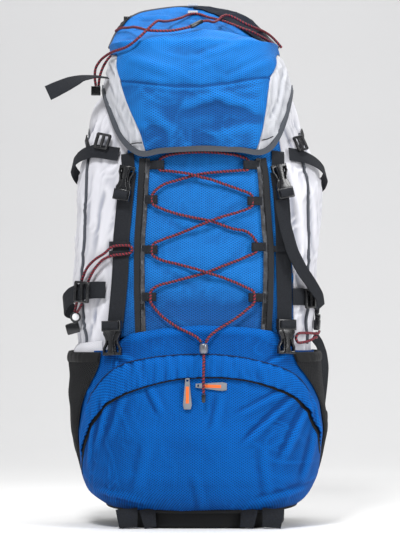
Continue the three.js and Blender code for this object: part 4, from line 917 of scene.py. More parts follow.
# %% Arched flap and its zip
FLAP = np.array([
    # angle, lower edge and upper edge as shares of the compartment's height
    (-77, 0.27, 0.40), (-68, 0.40, 0.505), (-60, 0.47, 0.61), (-50, 0.55, 0.69), (-40, 0.625, 0.765),
    (-28, 0.675, 0.82), (-14, 0.72, 0.85), (0, 0.76, 0.868), (14, 0.742, 0.847), (28, 0.705, 0.815),
    (40, 0.67, 0.785), (50, 0.62, 0.745), (60, 0.52, 0.68), (68, 0.45, 0.60), (77, 0.38, 0.50),
])
FLAP_END, BLUR_REACH = 77, 16
dense = np.linspace(-FLAP_END, FLAP_END, 309)
blur = np.exp(-0.5 * (np.arange(-BLUR_REACH, BLUR_REACH + 1) / 7) ** 2)
blur /= blur.sum()


def smooth_column(column):
    values = np.interp(dense, FLAP[:, 0], FLAP[:, column])
    return np.convolve(np.pad(values, BLUR_REACH, mode="reflect", reflect_type="odd"), blur, mode="valid")


flap_low, flap_high = smooth_column(1), smooth_column(2)


def flap_edges(angle):
    turn = angle / DEGREE
    return (COMPARTMENT_HEIGHT * np.interp(turn, dense, flap_low),
            COMPARTMENT_HEIGHT * np.interp(turn, dense, flap_high))


def flap_place(u, v):
    angle = even_angle(-FLAP_END * DEGREE, FLAP_END * DEGREE, u)
    low, high = flap_edges(angle)
    run = length_at(angle)
    pucker = waves(31, run, v * 12, 13, 14)
    gather = 0.5 + 0.5 * np.abs(2 * v - 1)
    z = low + (high - low) * v + 0.5 * waves(33, run, v * 0, 17, 10)
    swell = 2.6 * np.sin(math.pi * np.clip(v * 0.95 + 0.05, 0, 1)) ** 0.7 + 2.4 * (1 - v) ** 2
    tuck = np.exp(-((1 - v) / 0.10) ** 2)
    ends = np.clip((FLAP_END - np.abs(angle) / DEGREE) / 12, 0.12, 1)
    height = door_height(angle, z) + (2.6 + swell + 1.15 * pucker * gather - 2.0 * tuck) * ends
    return above(SACK, angle, z, height)


flap_cloth = cloth("flap_cloth", 240, 16, flap_place, (460, 38), 2.2)
finish_piece(flap_cloth, "blue_cloth", shaded_blue, "zip_flap")


def zip_place(u, v):
    end = (FLAP_END - 1) * DEGREE
    angle = even_angle(-end, end, u)
    low, _ = flap_edges(angle)
    z = low - 1.8 - 5 * np.abs(angle / end) ** 2 + 10 * v
    return above(SACK, angle, z, door_height(angle, z) + 1.0)


# Real zip tape, also painted shadow under the flap's lower edge, showing more of it towards the ends.
door_zip_and_shadow = cloth("door_zip_tape_and_shadow", 220, 4, zip_place, (455, 12), 0.9)
finish_piece(door_zip_and_shadow, "binding", black)
print("flap:", len(flap_cloth.data.polygons), "faces")

# %% [markdown]
# The foot of the pack is a black boot: an open tray that closes the bottom. A grid closes round on itself,
# its last rows run in over the floor, and all points of the last row meet in the middle.

# %% Base boot
BOOT_HALF, BOOT_FRONT, BOOT_BACK, BOOT_HEIGHT = 126, 108, 84, 29.5


def boot_place(u, v):
    angle = -u * 2 * math.pi
    wall = np.clip(v / 0.45, 0, 1)
    turn = np.clip((v - 0.45) / 0.15, 0, 1)
    floor = np.clip((v - 0.60) / 0.40, 0, 1)
    share = 1.01 - 0.01 * wall - 0.04 * np.sin(turn * math.pi / 2) ** 2
    share = share * (1 - floor)
    z = BOOT_HEIGHT - (BOOT_HEIGHT - 6) * wall - 6 * np.sin(turn * math.pi / 2)
    across, ahead = np.sin(angle), np.cos(angle)
    x = np.sign(across) * BOOT_HALF * share * np.abs(across) ** (2 / 3)
    y = -np.sign(ahead) * np.where(ahead < 0, BOOT_BACK, BOOT_FRONT) * share * np.abs(ahead) ** (2 / 3)
    dent = 0.5 * waves(41, x, y + z, 60) * (1 - turn)
    return np.stack([x * (1 - np.maximum(0, dent) / BOOT_HALF), y, z], -1)


boot = cloth("boot_cloth", 160, 30, boot_place, (660, 120), CLOTH, closed=True)
finish_piece(boot, "black_cloth", black, "base_boot")
print("boot:", len(boot.data.polygons), "faces")

# %% [markdown]
# Each side has a pocket of netting. The net is a grid whose squares are cut from corner to corner. Once the
# first edges are dissolved, only diamonds are left, and Wireframe turns their edges into threads. Dark
# gauze lies behind the net, and a band of elastic hems the top.

# %% Net pockets
POCKET_FOOT, POCKET_BACK = 62.0, 106 * DEGREE
POCKET_EDGE = np.array([
    # share of the height, angle of the front edge on the left and on the right
    (0.22, 92, 92), (0.40, 90, 90), (0.50, 84, 88), (0.58, 75, 86), (0.69, 67, 83), (0.79, 57, 68),
    (0.87, 49, 56), (0.93, 45, 48), (1.0, 43, 44),
])
POCKET_DEPTH = {"left": 9.0, "right": 7.0}


def pocket_point(name, side, u, v, more=0.0):
    z = POCKET_FOOT + (SIDE_FOOT - POCKET_FOOT) * v
    front = np.interp(z / SIDE_FOOT, POCKET_EDGE[:, 0], POCKET_EDGE[:, 1 if side < 0 else 2]) * DEGREE
    turn = -POCKET_BACK + (POCKET_BACK - front) * u if side < 0 else front + (POCKET_BACK - front) * u
    bulge = np.sin(math.pi * np.clip(u, 0, 1)) ** 0.5 * np.sin(math.pi * np.clip(v, 0.001, 0.75)) ** 0.6
    lift = LIFT * 2 + (6.5 - LIFT * 2) * np.minimum(1, 3 * v)
    slack = 0.8 * waves(51, length_at(turn), z, 55) * np.sin(math.pi * np.clip(u, 0, 1))
    return above(SACK, turn, z, lift + POCKET_DEPTH[name] * bulge + 1.2 + slack + more)


def net_pocket(name, side):
    let_go()
    bpy.ops.mesh.primitive_grid_add(x_subdivisions=30, y_subdivisions=46, size=1)
    net = bpy.context.object
    net.name = net.data.name = "net_" + name
    share = points_of(net) + 0.5
    move_points(net, pocket_point(name, side, share[:, 0], share[:, 1]) * MM)
    border = np.array([min(abs(p[0]), abs(p[0] - 1), abs(p[1]), abs(p[1] - 1)) < 1e-6 for p in share])
    ends = [tuple(edge.vertices) for edge in net.data.edges]
    inner = [not (border[a] and border[b]) for a, b in ends]
    in_edit_mode(net, lambda: bpy.ops.mesh.poke())
    only(net)
    first = set(tuple(sorted(pair)) for pair, keep in zip(ends, inner) if keep)
    bpy.ops.object.mode_set(mode="EDIT")
    bpy.ops.mesh.select_all(action="DESELECT")
    bpy.ops.mesh.select_mode(type="EDGE")
    bpy.ops.object.mode_set(mode="OBJECT")
    for edge in net.data.edges:
        edge.select = tuple(sorted(edge.vertices)) in first
    bpy.ops.object.mode_set(mode="EDIT")
    bpy.ops.mesh.dissolve_edges(use_verts=False)
    bpy.ops.object.mode_set(mode="OBJECT")
    threads = net.modifiers.new("threads", "WIREFRAME")
    threads.thickness = 1.5 * MM
    threads.use_boundary = True
    bpy.ops.object.modifier_apply(modifier=threads.name)
    only(net)
    bpy.ops.object.shade_smooth()
    finish_piece(net, "netting", net_thread, "mesh_pocket_" + name)
    print(net.name, len(net.data.polygons), "faces")


def pocket_hem(name, side):
    def place(u, v):
        up = 1.0 - 0.075 * (1 - v)
        roll = 1.6 * np.sin(math.pi * v) ** 0.5
        return pocket_point(name, side, u, up, 0.6 + roll + 0.3 * waves(57, u * 130, v * 4, 9))
    hem = cloth("pocket_hem_" + name, 70, 8, place, (140, 15), 2.0)
    finish_piece(hem, "webbing", black)


def pocket_gauze(name, side):
    def place(u, v):
        return pocket_point(name, side, u, v, -0.9)
    gauze = cloth("pocket_gauze_" + name, 60, 80, place, (140, 200), 0.5)
    finish_piece(gauze, "netting", black)


for make in (net_pocket, pocket_gauze, pocket_hem):
    for name, side in SIDES:
        make(name, side)

# %% [markdown]
# Webbing is a flat band. It is carried along a line of points, each with the way its face looks. The map
# across it counts from its middle, so that the herringbone turns there. The corners of the band are a
# little thinner than its middle, as woven edges are.

# %% Webbing tools
BAND = np.array([(-1, 0.12), (-0.96, 0.0), (-0.5, 0.0), (0, 0.0), (0.5, 0.0), (0.96, 0.0), (1, 0.12),
                 (1, 0.88), (0.96, 1.0), (0.5, 0.92), (0, 0.96), (-0.5, 0.92), (-0.96, 1.0), (-1, 0.88)])


def band_frames(line, outs):
    along = np.gradient(line, axis=0)
    along /= np.linalg.norm(along, axis=1, keepdims=True)
    across = np.cross(along, outs)
    across /= np.linalg.norm(across, axis=1, keepdims=True)
    return across, np.cross(across, along)


def band(name, line, outs, width, thickness, lift=0.0):
    line, outs = np.asarray(line, float), np.asarray(outs, float)
    across, out = band_frames(line, outs)
    run = run_along(line)
    widths = np.broadcast_to(width, len(line))
    side = BAND[:, 0][None, :, None] * widths[:, None, None] / 2
    up = lift + BAND[:, 1][None, :, None] * thickness
    points = line[:, None, :] + across[:, None, :] * side + out[:, None, :] * up
    size = len(BAND)
    maps = []
    for i in range(len(line) - 1):
        for k in range(size):
            a, b = BAND[k, 0] * widths[i] / 2, BAND[(k + 1) % size, 0] * widths[i] / 2
            maps += [(a, run[i]), (b, run[i]), (b, run[i + 1]), (a, run[i + 1])]
    maps += [(BAND[k, 0] * 10, 0) for k in range(size)] * 2
    piece = skin_of(name, points.reshape(-1, 3), ring_faces(len(line), size), maps)
    smooth_edges(piece, 40)
    return piece


def webbing(name, line, outs, width, thickness, lift=0.0, *replaced):
    finish_piece(band(name, line, outs, width, thickness, lift), "webbing", strapping, *replaced)


def through(rows, count):
    """Rows of numbers read at even steps along a smooth curve through them."""
    rows = np.array(rows, float)
    knots = np.linspace(0, 1, len(rows))
    at = np.linspace(0, 1, count)
    values = np.stack([np.interp(at, knots, rows[:, i]) for i in range(rows.shape[1])], -1)
    reach = max(2, int(0.45 * count / len(rows)))
    kernel = np.hanning(2 * reach + 3)[1:-1]
    kernel /= kernel.sum()
    padded = np.pad(values, ((reach, reach), (0, 0)), mode="reflect", reflect_type="odd")
    return np.stack([np.convolve(padded[:, i], kernel, mode="valid") for i in range(rows.shape[1])], -1)


def sack_band(name, route, width, count, in_distances, solid):
    rows = through([row if len(row) == 3 else (*row, 0) for row in route], count)
    angle = angle_at(SACK, rows[:, 0], rows[:, 1]) if in_distances else rows[:, 0] * DEGREE
    line = above(SACK, angle, rows[:, 1], rows[:, 2] + np.maximum(0.0, sack_waves(angle, rows[:, 1])))
    webbing(name, line, outward(SACK, angle, rows[:, 1]), width, 1.5, LIFT, solid)


print("webbing tools ready")

# %% [markdown]
# Two black tapes run down the front and close the front pockets. The inner edge of each is a worn, paler
# piping, with a coil beside it. Loops of webbing are sewn under that edge and carry the lacing.

# %% Front zip tapes and piping
ZIP_LINES = {
    "left": [(-84, 550), (-88, 480), (-92, 422), (-92, 345), (-90, 291)],
    "right": [(89, 550), (93, 520), (95.5, 480), (101, 415), (100, 345), (97, 291)],
}
LACE_LOOPS = {
    "left": [(-62, 540), (-72, 489), (-72, 415), (-74, 345)],
    "right": [(70, 540), (76, 487), (82, 419), (78, 344)],
}


def along_front(rows, count, shift=0.0, height=0.0):
    rows = through(rows, count)
    x, z = rows[:, 0] + shift, rows[:, 1]
    angle = angle_at(SACK, x, z)
    return above(SACK, angle, z, height + sack_waves(angle, z)), outward(SACK, angle, z)


def worn_material():
    material, tree, shader = new_material("worn_piping", 0.75)
    wear = noise(tree, place_of(tree), 110, 4, 0.6)
    shade = colour_ramp(tree, wear, [(0.35, linear(26, 27, 30)), (0.55, linear(58, 60, 65)),
                                     (0.75, linear(110, 113, 120))])
    tree.links.new(shade, shader.inputs["Base Color"])
    bump(tree, shader, wear, 0.7, 0.4)
    return material


worn = worn_material()
for name, side in SIDES:
    line, outs = along_front(ZIP_LINES[name], 90)
    tape = band("zip_tape_" + name, line, outs, 15, 1.6, LIFT)
    finish_piece(tape, "black_cloth", black, "zip_strip_" + name)
    flap_line, flap_outs = along_front(ZIP_LINES[name], 90, side * 2.6, 1.8)
    cover = band("zip_cover_" + name, flap_line, flap_outs, 8.5, 1.6, LIFT)
    finish_piece(cover, "black_cloth", pad_cloth)
    edge_line, _ = along_front(ZIP_LINES[name], 110, -side * 5.6, 2.4)
    edge_outs = flap_outs[np.linspace(0, 89, 110).astype(int)]
    sway = 0.4 * waves(61, np.arange(110) * 2.3, 0, 18)
    edging = band("zip_edging_" + name, edge_line, edge_outs, 6.0 + sway, 2.2, -1.2)
    finish_piece(edging, "black_cloth", worn)
    coil_line, _ = along_front(ZIP_LINES[name], 110, -side * 2.4, 2.6)
    coil = tube("zip_coil_" + name, coil_line, 1.1, 8)
    finish_piece(coil, "black_cloth", plastic)
for name, side in SIDES:
    zip_x, zip_z = np.array(ZIP_LINES[name]).T
    for number, (x, z) in enumerate(LACE_LOOPS[name]):
        reach = np.linspace(-6.0, abs(np.interp(-z, -zip_z, zip_x) - x) - 5, 14)
        over = np.concatenate([reach[::-1], [-7.2, -7.4, -7.2], reach])
        up = np.concatenate([np.full(14, 0.6), [2.0, 4.4, 6.8], np.interp(reach, [-6, 4, 12], [8.4, 7.2, 3.2])])
        level = np.full_like(over, z)
        angle = angle_at(SACK, x + side * over, level)
        line = above(SACK, angle, level, up + sack_waves(angle, level))
        outs = np.cross(np.gradient(line, axis=0), np.array([0, 0, 1.0])) * side
        webbing("lace_loop_%s_%d" % (name, number + 1), line, outs, 12.5, 1.0, -0.5)

PIPING_LINES = {
    "left": [(-171, 600), (-170, 538), (-172, 481), (-175, 422), (-177, 368), (-178, 330), (-172, 275)],
    "right": [(149, 590), (152, 548), (161, 508), (161, 461), (161, 404), (158, 345), (158, 275)],
}
for name, route in PIPING_LINES.items():
    line, _ = along_front(route, 120, 0, 1.6)
    piping = tube("seam_piping_" + name, line, 2.2, 12)
    finish_piece(piping, "binding", grey, "side_piping_" + name)
print("tapes, loops and piping done")

# %% [markdown]
# The lid is a hood that reaches far down the front. Its walls go up to a rim, and its top rolls over a
# front ridge, a valley and a higher rear crest. The blue face narrows towards its foot between two white
# sides. A pocket hem crosses it in a long smile. One row of the grid follows the hem, so that its edge
# stays sharp.

# %% Lid shape
LID_TOP, LID_RIM, LID_WIDTH, LID_DEPTH, REAR_FOOT = 784, 724, 296, 270, 664
LID_SECTIONS = np.array([
    # up, left, right, front, back, power
    (0.705, 1.00, 0.96, 0.515, 0.39, 3), (0.765, 1.01, 0.96, 0.565, 0.395, 3),
    (0.815, 1.01, 0.945, 0.590, 0.40, 3), (0.847, 1.00, 0.925, 0.597, 0.405, 3),
    (0.885, 0.955, 0.865, 0.585, 0.405, 3), (0.903, 0.93, 0.815, 0.572, 0.402, 3),
    (0.923, 0.94, 0.785, 0.555, 0.40, 3),
])
LID = smooth_profile(LID_SECTIONS, LID_TOP, LID_WIDTH / 2, LID_DEPTH)
LID_CREST = np.array([
    # depth from the front and height, in shares of the lid's depth and top
    (-0.60, 0.925), (-0.44, 0.958), (-0.30, 0.940), (-0.12, 0.960), (0.04, 0.984), (0.14, 1.004), (0.20, 1.013),
    (0.30, 1.006), (0.42, 0.970),
])
lid_left, lid_right, _, _, _ = section(LID, np.array(float(LID_RIM)))
lid_middle, lid_half = (lid_right - lid_left) / 2, (lid_right + lid_left) / 2
FACE_EDGE = np.array([
    # angle from the front, foot of the blue face, foot of the white side
    (-156, 664, 664), (-129, 664, 664), (-127.6, 709, 664), (-90, 709, 664), (-80, 709, 659), (-70, 708, 645),
    (-58, 704, 620), (-53, 684, 603), (-48, 662, 590), (-42, 641, 576), (-36, 620, 566), (-31, 602, 561),
    (-27, 580, 557), (-24.5, 560, 556), (-18, 562, 562), (0, 566, 566), (18, 564, 564), (25, 561, 559),
    (27, 566, 559), (33, 608, 562), (36, 644, 564), (41, 667, 571), (50, 683, 594), (60, 702, 622),
    (70, 708, 645), (80, 709, 659), (90, 709, 664), (127.6, 709, 664), (129, 664, 664), (156, 664, 664),
])
HEM = np.array([
    (-150, 664), (-123, 664), (-75, 657.5), (-37.5, 653), (1.5, 653), (39, 657.5), (78, 665), (103, 669),
    (130, 670),
])


def lid_foot(angle, column):
    turn = (angle / DEGREE + 180) % 360 - 180
    return np.interp(turn, FACE_EDGE[:, 0], FACE_EDGE[:, column], left=REAR_FOOT, right=REAR_FOOT)


def crest_height(x, y):
    nearby = [np.interp(y / LID_DEPTH + shift, LID_CREST[:, 0], LID_CREST[:, 1])
              for shift in np.linspace(-0.05, 0.05, 7)]
    dip = 9 * np.clip((x + 30) / 70, 0, 1) * np.exp(-((y + 52) / 26) ** 2)
    dip = dip + 13 * np.clip((-50 - x) / 34, 0, 1) * np.exp(-((y + 118) / 30) ** 2)
    dip = dip + 7 * np.clip((x - 20) / 50, 0, 1) * np.exp(-((y + 20) / 34) ** 2)
    nearby = [value - dip / LID_TOP for value in nearby]
    share = np.abs((x - lid_middle) / lid_half)
    roll = np.where(x < lid_middle, 4 * share ** 2 + 22 * share ** 20, 30 * share ** 2 + 25 * share ** 8)
    return np.mean(nearby, axis=0) * LID_TOP - roll


LID_FOLDS = [
    picture_line(258, 40, 190, 66, 9, 2.4), picture_line(236, 58, 190, 74, 8, 1.8),
    picture_line(126, 58, 172, 76, 9, 2.2), picture_line(124, 80, 170, 86, 7, 1.4),
    picture_line(272, 62, 222, 86, 8, 1.8), picture_line(180, 110, 222, 96, 12, 3.2),
    picture_line(214, 96, 262, 112, 12, 2.8), picture_line(150, 112, 176, 138, 11, 2.2),
    picture_line(262, 126, 214, 138, 10, 2.0),
]
TOP_FOLDS = [
    (-120, -20, -60, -34, 7, 2.6), (-100, 22, -40, 4, 8, 2.4), (-70, -58, -20, -70, 6, 2.0),
    (-20, 10, 50, 26, 8, 2.0), (40, -20, 96, -4, 7, 2.2), (20, 60, 80, 52, 7, 1.6),
]


def lid_waves(x, y, z):
    crease = 1.2 * (creases(151, x, z, 44, -0.4, 3.4) - 0.5) + 0.6 * (creases(161, x, z, 30, 0.9) - 0.3)
    wall = folds(x, z, LID_FOLDS) + 1.4 * waves(71, x, z, 70) + crease
    drop = z - np.interp(x, HEM[:, 0], HEM[:, 1])
    hem = np.where(drop > 0, -4.2 * np.exp(-drop / 7) + 3.2 * np.exp(-((drop - 26) / 18) ** 2),
                   -1.2 * np.exp(-((drop + 7) / 6) ** 2))
    front = np.clip((-20 - y) / 30, 0, 1)
    top = folds(x, y, TOP_FOLDS) + 0.9 * waves(73, x, y, 55) + 1.3 * (creases(171, x, y, 26, 0.3) - 0.5)
    return front * (wall + hem) * np.clip((745 - z) / 15, 0, 1) + top * np.clip((z - 735) / 15, 0, 1)


def lid_point(angle, way, foot, height=0.0, waved=1.0):
    way = np.asarray(way, float)
    z = foot + (LID_RIM - foot) * np.minimum(way, 1)
    wall = on_skin(LID, angle, z)
    out = outward(LID, angle, z)
    radius = np.clip(2 - way, 0, 1)
    rise = np.sqrt(1 - radius ** 4)
    x = lid_middle + (wall[..., 0] - lid_middle) * radius
    y = wall[..., 1] * radius
    z = np.where(way > 1, LID_RIM + (crest_height(x, y) - LID_RIM) * rise, z)
    out = out * (1 - rise[..., None]) + np.array([0, 0, 1.0]) * rise[..., None]
    side = np.clip((np.abs(np.asarray(angle)) / DEGREE - 52) / 10, 0, 1)
    lift = height + waved * lid_waves(x, y, z) - 1.6 * side * np.exp(-way * 9)
    return np.stack([x, y, z], -1) + out * np.asarray(lift)[..., None]


HOOD_WALL, HEM_ROW, FACE_ROWS, HEM_LEVEL = 0.60, 0.32, 92, 660.0
hood_ring = np.linspace(0, 1, 1441)
hood_points = on_skin(LID, (hood_ring * 2 - 1) * math.pi, np.full_like(hood_ring, HEM_LEVEL))
hood_run = run_along(hood_points)


def lid_angle(u):
    return (np.interp(u * hood_run[-1], hood_run, hood_ring) * 2 - 1) * math.pi


def hood_place(u, v):
    angle = lid_angle(u)
    foot = lid_foot(angle, 1)
    x = on_skin(LID, angle, np.full_like(u, HEM_LEVEL))[:, 0]
    hem_way = (np.interp(x, HEM[:, 0], HEM[:, 1]) - foot) / (LID_RIM - foot)
    ahead = np.clip((58 * DEGREE - np.abs(angle)) / (8 * DEGREE), 0, 1)
    even = HEM_ROW / HOOD_WALL
    hem_way = np.clip(hem_way, 0.08, 0.92) * ahead + even * (1 - ahead)
    low = np.clip(v / HEM_ROW, 0, 1) * hem_way
    high = np.clip((v - HEM_ROW) / (HOOD_WALL - HEM_ROW), 0, 1) * (1 - hem_way)
    crown = np.clip((v - HOOD_WALL) / (1 - HOOD_WALL), 0, 1)
    return lid_point(angle, low + high + crown, foot)


hood = cloth("lid_hood_cloth", 280, FACE_ROWS, hood_place, (780, 290), CLOTH, closed=True)
hem_height = np.interp(points_of(hood)[:, 0] / MM, HEM[:, 0], HEM[:, 1])
# Painted shadow under the pocket hem, and painted shade near the sides of the face below 700 mm.
shade(hood, lambda x, y, z: (y < -20) * (2.1 * np.clip((hem_height + 4 - z) / 20, 0, 1)
                                         + 0.8 * np.clip((np.abs(x + 6) - 84) / 24, 0, 1) * (z < 700)))
finish_piece(hood, "blue_cloth", blue, "lid_hood")
print("hood:", len(hood.data.polygons), "faces")

# %% [markdown]
# The white sides of the lid lie under the edges of the blue face and are pulled into long folds. The grey
# binding goes round the whole lower edge of the lid.

# %% Lid sides and binding
SIDE_FOLDS = [
    picture_line(106, 70, 118, 100, 4, 2.0), picture_line(112, 96, 134, 140, 5, 1.8),
    picture_line(120, 84, 138, 130, 4, 1.4), picture_line(110, 62, 116, 76, 3, 1.6),
    picture_line(288, 66, 280, 104, 4, 2.2), picture_line(284, 92, 270, 134, 5, 2.0),
    picture_line(277, 76, 274, 110, 4, 1.8), picture_line(290, 88, 282, 122, 4, 1.6),
]


def lid_side(name, side):
    def place(u, v):
        start, end = (-127.6, -24.8) if side < 0 else (25.6, 127.6)
        angle = (start + (end - start) * u) * DEGREE
        foot = lid_foot(angle, 2)
        top = np.maximum(lid_foot(angle, 1) - 0.5, foot + 1.0)
        z = foot + (top - foot) * v
        point = on_skin(LID, angle, z)
        wrinkle = folds(point[..., 0], z, SIDE_FOLDS) * (point[..., 1] < 0)
        wrinkle = wrinkle + 0.7 * waves(81, length_at(angle), z, 40)
        edge = np.exp(-((top - z) / 5) ** 2)
        wrinkle = wrinkle + 1.8 * (creases(181, length_at(angle), z, 20, 1.5) - 0.4)
        height = np.minimum(1.6, wrinkle * (1 - edge) - 0.6 - 1.6 * edge)
        return above(LID, angle, z, height)
    piece = cloth("lid_side_cloth_" + name, 120, 44, place, (330, 120), CLOTH)
    finish_piece(piece, "white_cloth", shaded_white, "lid_side_" + name)


for name, side in SIDES:
    lid_side(name, side)
ring = np.linspace(0, 1, 301)[:-1]
ring_angle = lid_angle(ring)
ring_z = lid_foot(ring_angle, 2)
soft = np.hanning(15)[1:-1]
ring_z = np.convolve(np.concatenate([ring_z[-6:], ring_z, ring_z[:6]]), soft / soft.sum(), mode="valid")
edge_line = above(LID, ring_angle, ring_z - 1.5, 0.4)
edge_outs = outward(LID, ring_angle, ring_z)
binding = band("lid_edge_binding", np.vstack([edge_line, edge_line[:1]]), np.vstack([edge_outs, edge_outs[:1]]),
               8, 4.2, -2.2)
in_edit_mode(binding, lambda: bpy.ops.mesh.remove_doubles(threshold=WELD * MM))
finish_piece(binding, "binding", grey, "lid_binding")
print("binding done")

# %% [markdown]
# The lid's pocket opens by a zip along the rear crest. Its tape starts low on the left, runs behind the top
# and comes far down on the right, where its dark band shows behind the ridge. A black piping trims the
# crest.

# %% Lid zip, crest piping and small fittings
zip_angle = np.linspace(84, 266, 140) * DEGREE
zip_way = 1.10 + 0.16 * np.sin(math.pi * np.linspace(0, 1, 140)) ** 0.7
rim = np.full(140, float(LID_RIM))
zip_line = lid_point(zip_angle, zip_way, rim, 1.0)
before = lid_point(zip_angle - 0.03, zip_way, rim, 1.0)
inner = lid_point(zip_angle, zip_way + 0.03, rim, 1.0)
zip_tape = band("lid_zip_tape", zip_line, np.cross(zip_line - before, inner - zip_line), 14, 1.6, 0.6)
finish_piece(zip_tape, "black_cloth", pad_cloth, "lid_zip")
crown_angle, crown_way = np.meshgrid(np.linspace(-math.pi, math.pi, 361), np.linspace(0.85, 1.95, 80))
crown = lid_point(crown_angle, crown_way, np.full(crown_angle.shape, 705.0)).reshape(-1, 3)
outline = []
for turn in np.linspace(176, 2, 60) * DEGREE:
    reach = crown[:, 0] * math.cos(turn) + crown[:, 2] * math.sin(turn)
    outline.append(crown[reach > reach.max() - 0.4].mean(axis=0) + (math.cos(turn), 0, math.sin(turn)))
outline = np.array(outline)
for _ in range(3):
    outline[1:-1] = (outline[:-2] + 2 * outline[1:-1] + outline[2:]) / 4
crest_piping = tube("lid_crest_piping", smooth_line(outline[np.linspace(0, 59, 24).astype(int)], 3), 1.8, 10)
finish_piece(crest_piping, "binding", grey)
print("lid zip and piping done")

# %% [markdown]
# The straps follow the same tables as the solid model. Each front strap runs from its buckle down to the
# plug at the compartment. The side straps turn over themselves where they hang loose.

# %% Straps
FRONT_STRAPS = {
    "left": [(-108, 530), (-111, 503), (-115, 461), (-118, 430), (-119, 385), (-122, 345), (-126, 299, 2.2)],
    "right": [(114, 530), (118, 503), (121, 461), (122, 430), (122, 400), (123, 350), (122, 299, 2.2)],
}
LID_STRAPS = {
    "left": [(-109, 557.5, -0.2), (-108, 545, 0), (-107.5, 531, 0)],
    "right": [(114, 561, -0.2), (114, 548, 0), (113.5, 531, 0)],
}
UPPER_SIDE_STRAPS = {
    "left": [(-34, 556, 2.2), (-55, 562, 3), (-72, 555, 6), (-88, 540, 11), (-104, 526, 6), (-118, 516, -0.3)],
    "right": [(42, 556, 3), (55, 553, 3), (70, 543, 5), (86, 527, 8), (104, 515, 5), (118, 505, 1)],
}
LOWER_SIDE_STRAPS = {
    "left": [(-38, 355, 2.5), (-46, 355, 5), (-54, 353, 8), (-62, 350, 9), (-70, 346, 11), (-80, 336, 15),
             (-94, 326, 15), (-112, 318, 1)],
    "right": [(42, 345, 3), (52, 345, 3), (66, 341, 3), (80, 335, 5), (96, 328, 3), (112, 322, 1)],
}
for name, side in SIDES:
    for place, routes, width, count in (("front", FRONT_STRAPS, 25, 90), ("lid", LID_STRAPS, 20, 20),
                                        ("upper_side", UPPER_SIDE_STRAPS, 20, 60),
                                        ("lower_side", LOWER_SIDE_STRAPS, 25, 60)):
        sack_band(place + "_webbing_" + name, routes[name], width, count, "side" not in place,
                  place + "_strap_" + name)
LOOSE_LEFT = [
    (-138, -86, 671, -0.2, -0.12, 1.0), (-155, -87, 673, -0.1, -0.16, 1.0), (-176, -84, 671, 0.1, -0.45, 1.0),
    (-196, -83, 664, 0.3, -0.9, 0.9), (-214, -82, 656, 0.3, -1, 0.7), (-229, -82, 649, 0.3, -1, 0.6),
]
LOOSE_RIGHT = [
    (118, -120, 489, 0.5, -1, 0), (119.9, -122, 470, 0.5, -1, 0), (127, -129, 440, 0.5, -1, 0),
    (135, -128, 412, 0.6, -1, 0), (149, -121, 385, 0.7, -1, 0), (164, -109, 364, 0.8, -1, 0.1),
    (176, -98, 346, 0.9, -0.8, 0.2), (179, -92, 330, 1, -0.6, 0),
]
for name, rows, width in (("left", LOOSE_LEFT, 25), ("right", LOOSE_RIGHT, 20)):
    rows = through(rows, 60)
    webbing("loose_webbing_" + name, rows[:, :3], rows[:, 3:], width, 1.5, 0.0, "loose_strap_" + name)
BASE_STRAPS = {
    # middle and width at the top, then at the foot
    "left": [(-110.5, 33, -108, 27), (-80, 24, -75, 18)], "right": [(107.5, 33, 105, 27), (72, 26, 68, 20)],
}
for name, straps in BASE_STRAPS.items():
    for number, (x_top, width_top, x_foot, width_foot) in enumerate(straps):
        z, share = np.linspace(BOOT_HEIGHT, 2.5, 24), np.linspace(0, 1, 24)
        belly = 2.2 * np.sin(math.pi * share) + 1.0
        line = np.stack([x_top + (x_foot - x_top) * share, -BOOT_FRONT * 1.01 - belly, z], -1)
        outs = np.tile([0.0, -1, 0], (24, 1))
        webbing("base_webbing_%s_%d" % (name, number + 1), line, outs,
                width_top + (width_foot - width_top) * share, 2.4, 0.5,
                *(("base_straps_" + name,) if number == 0 else ()))
print("straps done")

# %% [markdown]
# The ladder locks, cord locks and zip pulls are moulded. Their solids already have the right form, so each
# is copied, its doubled points are merged, and a small bevel rounds its edges. Light then catches the edges
# as it does on real nylon.

# %% Moulded pieces
def merge_doubles():
    bpy.ops.mesh.remove_doubles(threshold=WELD / 2 * MM)


def copy_of(node, name):
    let_go()
    piece = nodes[node].copy()
    piece.data = nodes[node].data.copy()
    piece.name = piece.data.name = name
    bpy.context.collection.objects.link(piece)
    piece.hide_render = False
    return piece


def round_edges(piece, width, segments=2, angle=40):
    only(piece)
    bevel = piece.modifiers.new("rounding", "BEVEL")
    bevel.width = width * MM
    bevel.segments = segments
    bevel.limit_method = "ANGLE"
    bevel.angle_limit = angle * DEGREE
    bpy.ops.object.modifier_apply(modifier=bevel.name)
    smooth_edges(piece)


def rounded(node, name, slot, material, size=0.7, segments=2, angle=40):
    piece = copy_of(node, name)
    in_edit_mode(piece, merge_doubles, lambda: bpy.ops.mesh.dissolve_limited(angle_limit=1 * DEGREE))
    round_edges(piece, size, segments, angle)
    in_edit_mode(piece, turn_outward)
    smooth_edges(piece)
    finish_piece(piece, slot, material, node)


MOULDINGS = [node for node in nodes if node.startswith(("upper_ladder", "lower_ladder"))]
for node in MOULDINGS:
    rounded(node, node + "_moulding", "moulding", plastic)
for node in ("side_lock_right", "lid_cord_lock"):
    rounded(node, node + "_body", "moulding", plastic)
rounded("lace_lock", "lace_barrel", "metal", metal, 0.4, 2, 20)
rounded("lace_tip", "lace_tip_cap", "moulding", plastic, 0.4, 2, 20)
for name, side in SIDES:
    rounded("zip_pull_" + name, "pull_tab_" + name, "pull", pull_rubber, 0.3, 2)
print("mouldings:", len(MOULDINGS))

# %% [markdown]
# Small sewn and moulded things finish the front. A seat gives a place on the sack its own axes: across, up
# along the cloth, and out of it. Plates, buttons and stripes are made flat at the origin and then moved to
# such a seat.

